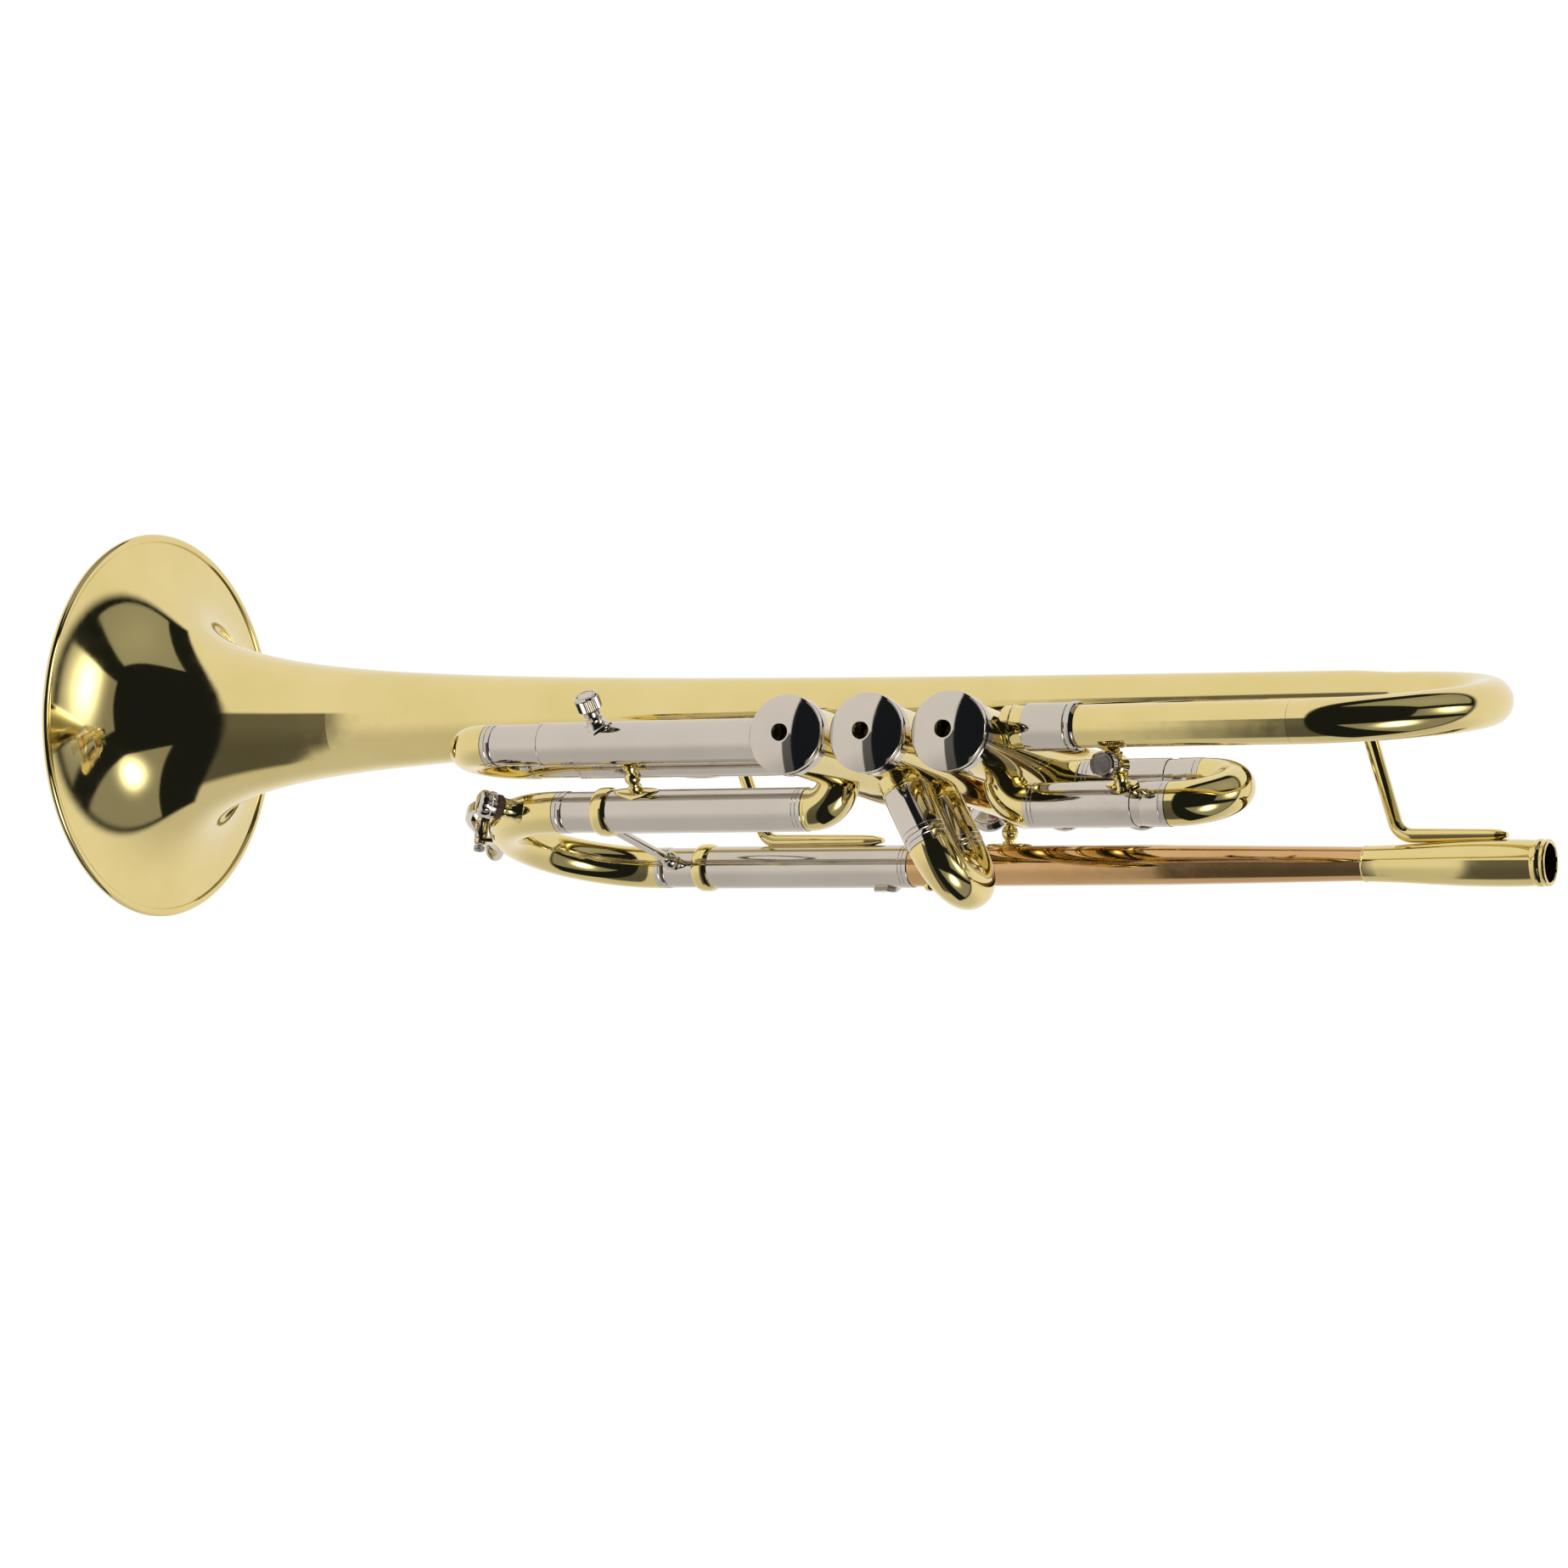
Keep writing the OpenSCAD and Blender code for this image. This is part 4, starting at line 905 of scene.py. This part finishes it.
def finger_hook():
    """Hook on the leadpipe's slide tube, and the ball foot beside it."""
    hi = box_mm("finger_hook")[1]
    band_t, width, curl = 1.4, 6.0, 7.8
    x, r = hi[0] - curl - band_t / 2, TUBE_R
    z = hi[2] - curl - band_t / 2
    sides = arc((x, 0, 0), Z_AXIS, -Y_AXIS, r + band_t / 2 - 0.1, -20, 104, 40)
    taper = np.interp(np.linspace(0, 1, 40), [0, 0.12, 0.8, 1], [5, 7.8, 7.8, 4.5])
    curve = arc((x, 0, z), -Z_AXIS, X_AXIS, curl, 0, 205, 64)
    narrow = np.interp(np.linspace(0, 1, 64), [0, 0.3, 0.9, 1], [width, width, width * 0.8, width * 0.45])
    parts = [strip(sides, X_AXIS, taper, band_t), strip(curve, Y_AXIS, narrow, band_t)]
    make("finger_hook", parts, NICKEL, sharp=50)
    foot = np.array([192.0, -5.9, -2.6])
    out = unit(np.array([0, foot[1], foot[2]]))
    neck = [(0, 2.3), (0.9, 1.2), (1.5, 1.0)]
    parts = [ball(foot, 2.05, 48), lathe(foot - out * 2.4, out, neck, count=32)]
    make("ball_foot", parts, BRASS, replaced=False)


# ---- Main slide ---------------------------------------------------------------


def u_bend(x, low, up, radius, side=1):
    """Half circle that joins two tubes along X at x: side 1 bulges forwards, -1 backwards."""
    low, up = np.array(low), np.array(up)
    span = np.linalg.norm(up - low)
    rise = at(0, (up - low) / span)
    path = arc(at(x, (low + up) / 2), -rise, side * X_AXIS, span / 2, 0, 180, 72)
    return hollow_sweep(path, radius, BORE_R)


def slide_leg(start, along, length, sleeve=3.4, sleeve_r=6.3):
    """Inner slide leg that ends in a sleeve with a fine turned line, where it meets the crook."""
    edge = length - sleeve
    line = length - 1.6
    outline = [
        (0, BORE_R), (0, LEG_R), (edge, LEG_R), (edge + 0.1, sleeve_r - 0.05), (edge + 0.2, sleeve_r),
        *corner(line, sleeve_r, (-0.2, 0), (-0.08, -0.12), (0.08, -0.12), (0.2, 0)),
        (length - 0.1, sleeve_r), (length, BORE_R),
    ]
    return lathe(start, along, outline, closed=True, count=96)


def main_slide():
    """Legs, crook and brace of the main tuning slide."""
    lo, hi = box_mm("main_leg_upper")
    for name, yz in (("main_leg_upper", (0, 0)), ("main_leg_lower", MAIN_LOW)):
        make(name, [slide_leg(at(lo[0], yz), X_AXIS, hi[0] - lo[0])], NICKEL, "main_slide")
    make("main_crook", [u_bend(hi[0], MAIN_LOW, (0, 0), CROOK_R)], BRASS, "main_slide")
    x = middle("main_brace")[0]
    run = unit(at(0, MAIN_LOW))
    reach = LEG_R - 0.3
    joint, joint_r, rod_r = 8.6, 2.8, 1.4
    outline = [(reach, 2.4), *bulb(joint, joint_r, rod_r, 3)]
    outline += [(joint + joint_r + d, rod_r + r) for d, r in ((0.2, 0.5), (0.9, 0.5), (1.1, 0))]
    outline += [(MAIN_SPAN - d, r) for d, r in outline[::-1]]
    make("main_brace", [lathe((x, 0, 0), run, outline, count=48)], NICKEL, "main_slide")


CROOK_TILT = math.atan2(MAIN_LOW[0], -MAIN_LOW[1])
CROOK_X = box_mm("main_leg_upper")[1][0]
KEY_SEAT, KEY_AXIS, KEY_PIVOT = 22.0, 40.0, 72.0  # degrees from straight down towards the front


def crook_point(x, y, z):
    """A point of the main crook's own frame: origin at its centre, -Z towards the lower leg."""
    c, s = math.cos(CROOK_TILT), math.sin(CROOK_TILT)
    return np.array([CROOK_X + x, MAIN_LOW[0] / 2 + c * y - s * z, MAIN_LOW[1] / 2 + s * y + c * z])


def crook_way(x, y, z):
    return crook_point(x, y, z) - crook_point(0, 0, 0)


def round_crook(angle, reach):
    """A point in the crook's plane: degrees from straight down towards the front, and its reach."""
    a = math.radians(angle)
    return crook_point(reach * math.sin(a), 0, -reach * math.cos(a))


def key_ears(pivot, out, along, across_way):
    """The two ears that hold the pin, rounded at the top."""
    parts = []
    for side in (-1, 1):
        rings = []
        for offset, radius in ((-0.6, 1.7), (-0.4, 1.9), (0.4, 1.9), (0.6, 1.7)):
            mid = pivot + across_way * (side * 3.2 + offset)
            ear = [mid - out * 6.6 + along * radius, mid - out * 6.6 - along * radius]
            ear += list(arc(mid, -along, out, radius, 0, 180, 15))
            rings.append(np.array(ear))
        parts.append(skin(rings))
    return parts


def water_key():
    """Nipple, ears and pin on the main crook, and the lever with its cup and cork."""
    pivot = np.array(JOINTS["water_key_lift"]["pos_m"]) / MM
    across_way = crook_way(0, 1, 0)
    out = unit(round_crook(KEY_PIVOT, 1) - round_crook(KEY_PIVOT, 0))
    along = np.cross(across_way, out)
    seat = round_crook(KEY_SEAT, MAIN_SPAN / 2 + CROOK_R - 1.2)
    way = unit(round_crook(KEY_AXIS, 1) - round_crook(KEY_AXIS, 0))
    top, cup_0, cup_1 = 5.2, 7.4, 12.6
    nipple = [(-0.6, 4.3), (0.4, 3.6), (1.4, 3.1), (top - 1.2, 2.95), (top - 0.9, 3.1), (top - 0.3, 3.1),
              (top, 2.8), (top, 1.3), (-0.6, 1.3)]
    parts = [lathe(seat, way, nipple, closed=True), *key_ears(pivot, out, along, across_way)]
    make("key_saddle", parts, BRASS, "main_slide", sharp=40)
    head = [(-4.5, 0.02), (-4.5, 0.8), (-4.3, 1.0), (3.4, 1.0), (3.4, 1.6), (3.6, 1.8), (4.2, 1.8),
            (4.45, 1.4), (4.45, 0.5), (4.2, 0.45), (4.2, 0.02)]
    make("key_pin", [lathe(pivot, -across_way, head, count=48)], NICKEL, "main_slide")
    parts = []
    for side in (-1, 1):
        t = np.linspace(0, 2.25, 72)
        begin = 4.15 + (0.85 if side < 0 else 0)
        swing = 1.5 * (np.outer(np.cos(TAU * t), out) + np.outer(np.sin(TAU * t), along))
        parts.append(sweep(pivot + np.outer(side * (begin + 0.62 * t), across_way) + swing, 0.28, 10))
    make("key_springs", parts, STEEL, "main_slide", sharp=60)
    cup = corner(cup_0, 0, (0, 0.02), (0, 3.7), (0.3, 4.1), (0.9, 4.2), (1.6, 4.2), (1.9, 3.9), (2.3, 3.9),
                 (2.6, 4.15), (4.0, 4.1))
    cup += [(cup_1 - 0.5, 3.6), (cup_1, 2.8), (cup_1, 0.02)]
    parts = [lathe(seat, way, cup, count=96, teeth=12, depth=0.25, toothed=[(cup_0 + 2.5, cup_0 + 4.1)])]
    line = [(24, 46.9), (34, 46.6), (46, 45.3), (58, 43.4), (66, 42.4), (78, 42.6), (88, 44.6), (98, 46.6)]
    spine = catmull(np.array([round_crook(angle, reach) for angle, reach in line]), 8)
    width = np.interp(np.linspace(0, 1, len(spine)), [0, 0.4, 0.8, 1], [3, 3, 2.6, 3])
    parts.append(strip(spine, across_way, width, 1.8))
    parts.append(pipe(pivot - across_way * 2.5, across_way, 5.0, 2.0, 1.06, 0.2))
    angle, reach = line[-1]
    face = unit(round_crook(angle, 1) - round_crook(angle, 0))
    touch = [(-0.7, 0.02), (-0.7, 3.7), (-0.45, 4.1), (0, 4.2), (0.4, 4.1), (0.7, 3.6), (0.45, 2.4),
             (0.3, 0.02)]
    parts.append(lathe(round_crook(angle, reach), face, touch))
    make("key_lever", parts, NICKEL, "water_key", sharp=40)
    pad = corner(top, 0, (0.02, 0.02), (0.02, 3.4), (0.3, 3.65))
    pad += corner(cup_0, 0, (-0.4, 3.65), (-0.02, 3.4), (-0.02, 0.02))
    make("key_cork", [lathe(seat, way, pad)], CORK, "water_key")


# ---- The other slides ---------------------------------------------------------


def first_slide():
    """Legs, crook and thumb saddle."""
    lo, hi = box_mm("first_legs")
    ends = (hi[0], hi[0] - 3)
    parts = [slide_leg(at(e, yz), -X_AXIS, e - lo[0], 7.4, 6.42) for yz, e in zip(FIRST, ends)]
    make("first_legs", parts, NICKEL, "first_slide")
    make("first_crook", [u_bend(lo[0], *FIRST, CROOK_R, -1)], BRASS, "first_slide")
    s_lo, s_hi = box_mm("thumb_saddle")
    x, y = middle("thumb_saddle")[:2]
    curl = (s_hi[0] - s_lo[0]) / 2 - 0.8
    z = s_hi[2] - 0.1
    curve = arc((x, y, z), -X_AXIS, -Z_AXIS, curl, 4, 176, 64)
    width = np.interp(np.linspace(0, 1, 64), [0, 0.15, 0.85, 1], [5, 7, 7, 5])
    base = FIRST[1][1] + LEG_R
    foot = [(-0.5, 4.6), (0.2, 3.6), (0.9, 2.6), (1.4, 2.4)]
    parts = [strip(curve, Y_AXIS, width, 1.6), lathe((x, y, base), Z_AXIS, foot, count=48),
             diamond(x, FIRST[1], LEG_R, 90, 12, 8, 0.6)]
    make("thumb_saddle", parts, NICKEL, "first_slide", sharp=50)


def second_slide():
    """Legs and crook."""
    length = SECOND_CROOK - SECOND_TUBE - 0.5
    parts = [slide_leg(second_point(SECOND_TUBE + 0.5, z), SECOND_DIR, length) for z in SECOND_Z]
    make("second_legs", parts, NICKEL, "second_slide")
    z0, z1 = SECOND_Z
    centre = second_point(SECOND_CROOK, (z0 + z1) / 2)
    path = arc(centre, -Z_AXIS, SECOND_DIR, (z1 - z0) / 2, 0, 180, 72)
    make("second_crook", [hollow_sweep(path, CROOK_R, BORE_R)], BRASS, "second_slide")


def third_slide():
    """Legs, crook with a turned button at its middle, and the finger ring on its bar."""
    lo, hi = box_mm("third_legs")
    parts = [slide_leg(at(lo[0], yz), X_AXIS, hi[0] - lo[0]) for yz in THIRD]
    make("third_legs", parts, NICKEL, "third_slide")
    reach = hi[0] + (THIRD[1][1] - THIRD[0][1]) / 2 + CROOK_R
    nub = [(-0.8, 3.0), (0.2, 2.6), (0.7, 2.1), (1.9, 2.1), (2.35, 1.8), (2.6, 1.2), (2.6, 0.02),
           (-0.8, 0.02)]
    mid = at(reach, (np.array(THIRD[0]) + np.array(THIRD[1])) / 2)
    parts = [u_bend(hi[0], *THIRD, CROOK_R), lathe(mid, X_AXIS, nub, count=48)]
    make("third_crook", parts, BRASS, "third_slide")
    r_lo, r_hi = box_mm("finger_ring")
    wire, y = 1.8, THIRD[0][0]
    ring_r = 11.4
    x = r_lo[0] + ring_r + wire
    z = r_hi[2] - ring_r - wire
    loop = arc((x, y, z), X_AXIS, Z_AXIS, ring_r, 0, 360, 97)[:-1]
    bar_z = THIRD[1][1] + TUBE_R + 1.4
    bar_end = r_hi[0]
    bar = catmull(np.array([(x - 6, y, bar_z), (x + 6, y, bar_z), (bar_end - 10, y, bar_z),
                            (bar_end - 5.5, y, bar_z - 0.1), (bar_end - 1, y, bar_z - 0.6)]), 10)
    width = np.interp(np.linspace(0, 1, len(bar)), [0, 0.2, 0.8, 1], [3, 5, 5, 4])
    parts = [sweep(loop, wire, 32, closed=True), strip(bar, Y_AXIS, width, 1.6)]
    foot = [(-0.9, 3.8), (0, 3.0), (0.9, 2.5), (1.2, 2.5)]
    parts.append(lathe((bar_end - 4, y, THIRD[1][1] + LEG_R), Z_AXIS, foot, count=48))
    make("finger_ring", parts, NICKEL, "third_slide", sharp=50)


def hidden_nodes():
    """CAD nodes kept as they are, inside the casings."""
    pistons = [(f"piston_{number}", MONEL) for number in (1, 2, 3)]
    for name, material in (*pistons, ("valve_guides", BRASS)):
        obj = frame["nodes"][name]
        obj.data.materials.clear()
        obj.data.materials.append(material[0])


# ---- Stage --------------------------------------------------------------------


def floor():
    """Plain pale floor well below the instrument."""
    size, drop = 8.0, 2.2
    mesh = bpy.data.meshes.new("floor")
    h = size / 2
    mesh.from_pydata([(-h, -h, -drop), (h, -h, -drop), (h, h, -drop), (-h, h, -drop)], [], [(0, 1, 2, 3)])
    obj = place("floor", mesh)
    n = Nodes("pale_floor")
    n.set(Roughness=0.7)
    n.paint(n.noise(3.0), (0.88, 0.88, 0.87), (0.92, 0.92, 0.91))
    mesh.materials.append(n.material)
    obj.visible_glossy = False


# Where the studio's parts lie, as directions from the instrument
SOFT_BOXES = {  # corners going round, level at the edges, hot spot, its level and sharpness
    "left": (
        [(-0.04, 0.86, -0.51), (-0.78, 0.54, -0.30), (-0.82, 0.43, 0.38), (-0.21, 0.89, 0.40)],
        0.30, (-0.60, 0.72, 0.0), 0.10, 12.0,
    ),
    "right": (
        [(-0.21, -0.55, -0.81), (-0.35, -0.83, 0.42), (-0.86, -0.16, 0.49), (-0.81, -0.41, -0.43)],
        0.28, (-0.73, -0.63, -0.28), 5.5, 70.0,
    ),
    "rear": (
        [(-0.90, -0.13, -0.42), (-0.88, -0.10, 0.47), (-0.85, 0.30, 0.44), (-0.85, 0.39, -0.36)],
        0.25, (-0.96, 0.23, 0.10), 3.5, 60.0,
    ),
}
TENT, LAMP, ROOM = (0.90, 0.86, 0.80), (1.0, 0.97, 0.90), (0.012, 0.014, 0.016)
TENT_SIDE, TENT_GAP = 0.72, 0.16  # levels of the tent's right side and of its gap, low at the rear right


class Sky:
    """Short names for arithmetic on the direction a ray leaves in."""

    def __init__(self, tree):
        self.tree = tree
        self.direction = tree.nodes.new("ShaderNodeTexCoord").outputs["Generated"]

    def feed(self, socket, value):
        """Links a socket to another node's output, or sets it to a number or colour."""
        if isinstance(value, bpy.types.NodeSocket):
            self.tree.links.new(value, socket)
        else:
            socket.default_value = value

    def vector(self, operation, values, output="Vector"):
        node = self.tree.nodes.new("ShaderNodeVectorMath")
        node.operation = operation
        for key, value in values.items():
            self.feed(node.inputs[key], value)
        return node.outputs[output]

    def dot(self, way):
        return self.vector("DOT_PRODUCT", {0: self.direction, 1: tuple(unit(way))}, "Value")

    def math(self, operation, *values):
        node = self.tree.nodes.new("ShaderNodeMath")
        node.operation = operation
        for socket, value in zip(node.inputs, values):
            self.feed(socket, value)
        return node.outputs["Value"]

    def mix(self, factor, a, b):
        node = self.tree.nodes.new("ShaderNodeMix")
        node.data_type = "RGBA"
        for key, value in (("Factor", factor), ("A", a), ("B", b)):
            self.feed(node.inputs[key], value)
        return node.outputs["Result"]

    def step(self, value, start, end):
        """0 below start and 1 above end, eased between them; the other way round if start is above end."""
        levels = (1.0, 0.0) if start > end else (0.0, 1.0)
        return ramp(self.tree, value, sorted((start, end)), levels, "SMOOTHSTEP")

    def window(self, corners, edge=0.03):
        """1 inside the spherical polygon with these corners."""
        middle_way = unit(np.sum([unit(c) for c in corners], 0))
        mask = None
        for a, b in zip(corners, corners[1:] + corners[:1]):
            normal = np.cross(a, b)
            normal = normal if np.dot(normal, middle_way) > 0 else -normal
            side = self.step(self.dot(normal), 0.0, edge)
            mask = side if mask is None else self.math("MULTIPLY", mask, side)
        return mask

    def glow(self, way, level, sharpness):
        """A hot spot: level where the ray points along way, falling off round it."""
        off = self.math("MULTIPLY", self.math("SUBTRACT", self.dot(way), 1.0), sharpness)
        return self.math("MULTIPLY", self.math("EXPONENT", off), level)


def world():
    """White tent in front of and behind the instrument, and a dark room with soft boxes beyond its edge."""
    studio = bpy.data.worlds.new("studio")
    bpy.context.scene.world = studio
    studio.use_nodes = True
    sky = Sky(studio.node_tree)
    forward, left, up = (sky.dot(way) for way in (X_AXIS, Y_AXIS, Z_AXIS))
    tent = sky.math("MAXIMUM", sky.step(up, 0.42, 0.50), sky.step(sky.dot((1.0, 0.0, 0.07)), 0.055, 0.10))
    light = None
    for corners, level, way, hot, sharpness in SOFT_BOXES.values():
        lit = sky.math("ADD", sky.glow(way, hot, sharpness), level)
        lit = sky.math("MULTIPLY", sky.window(corners), lit)
        light = lit if light is None else sky.math("ADD", light, lit)
    light = sky.math("MULTIPLY", light, sky.step(up, 0.44, 0.37))
    room = sky.vector("MULTIPLY_ADD", {0: light, 1: LAMP, 2: ROOM})
    side = sky.math("MULTIPLY_ADD", sky.step(left, -0.8, -0.2), 1.0 - TENT_SIDE, TENT_SIDE)
    gap = sky.math("MULTIPLY", sky.step(forward, 0.40, 0.375), sky.step(left, 0.16, 0.06))
    gap = sky.math("MULTIPLY", gap, sky.step(up, 0.2, 0.0))
    side = sky.math("MULTIPLY", side, sky.math("MULTIPLY_ADD", gap, TENT_GAP - 1.0, 1.0))
    seen = sky.mix(tent, room, sky.vector("SCALE", {0: TENT, "Scale": side}))
    rays = sky.tree.nodes.new("ShaderNodeLightPath")
    seen = sky.mix(rays.outputs["Is Camera Ray"], seen, (1, 1, 1, 1))
    sky.feed(sky.tree.nodes["Background"].inputs["Color"], seen)


def camera():
    """The photograph's viewpoint: below the valves, a little to the right and behind."""
    data = bpy.data.cameras.new("camera")
    data.lens, data.sensor_width = 102.0, 36.0
    data.clip_start, data.clip_end = 0.05, 20
    obj = place("camera", data)
    target = Vector((0.21828, 0.01760, -0.05))
    distance = 1.30631
    tilt, lean, roll = np.radians((28.32, -8.21, -3.50)).tolist()
    look = Vector((math.sin(tilt) * math.cos(lean), -math.sin(lean), math.cos(tilt) * math.cos(lean)))
    level = Vector((0, -1, 0)).cross(look).normalized()
    drop = look.cross(level)
    right = math.cos(roll) * level + math.sin(roll) * drop
    down = math.cos(roll) * drop - math.sin(roll) * level
    eye = target - look * distance
    rows = [[right[i], -down[i], -look[i], eye[i]] for i in range(3)]
    obj.matrix_world = Matrix([*rows, [0, 0, 0, 1]])
    bpy.context.scene.camera = obj


def build(*makers):
    for maker in makers:
        maker()


build(bell, bell_bow, bell_tail)
for number in range(3):
    casing(number)
    button(number)
    spring(number)
build(bottom_caps, top_caps, valve_felts, port_knuckles)
elbow("main_elbow", 2, MAIN_LOW, 8.0, 1)
elbow("first_elbow", 0, FIRST[0], 9.0, -1)
build(leadpipe, receiver, fixed_tubes, tube_rings, valve_posts, slide_post, braces, lyre_holder, lock)
build(finger_hook, main_slide, water_key, first_slide, second_slide, third_slide, hidden_nodes)
build(floor, world, camera)
bpy.context.scene.view_settings.view_transform = "Standard"
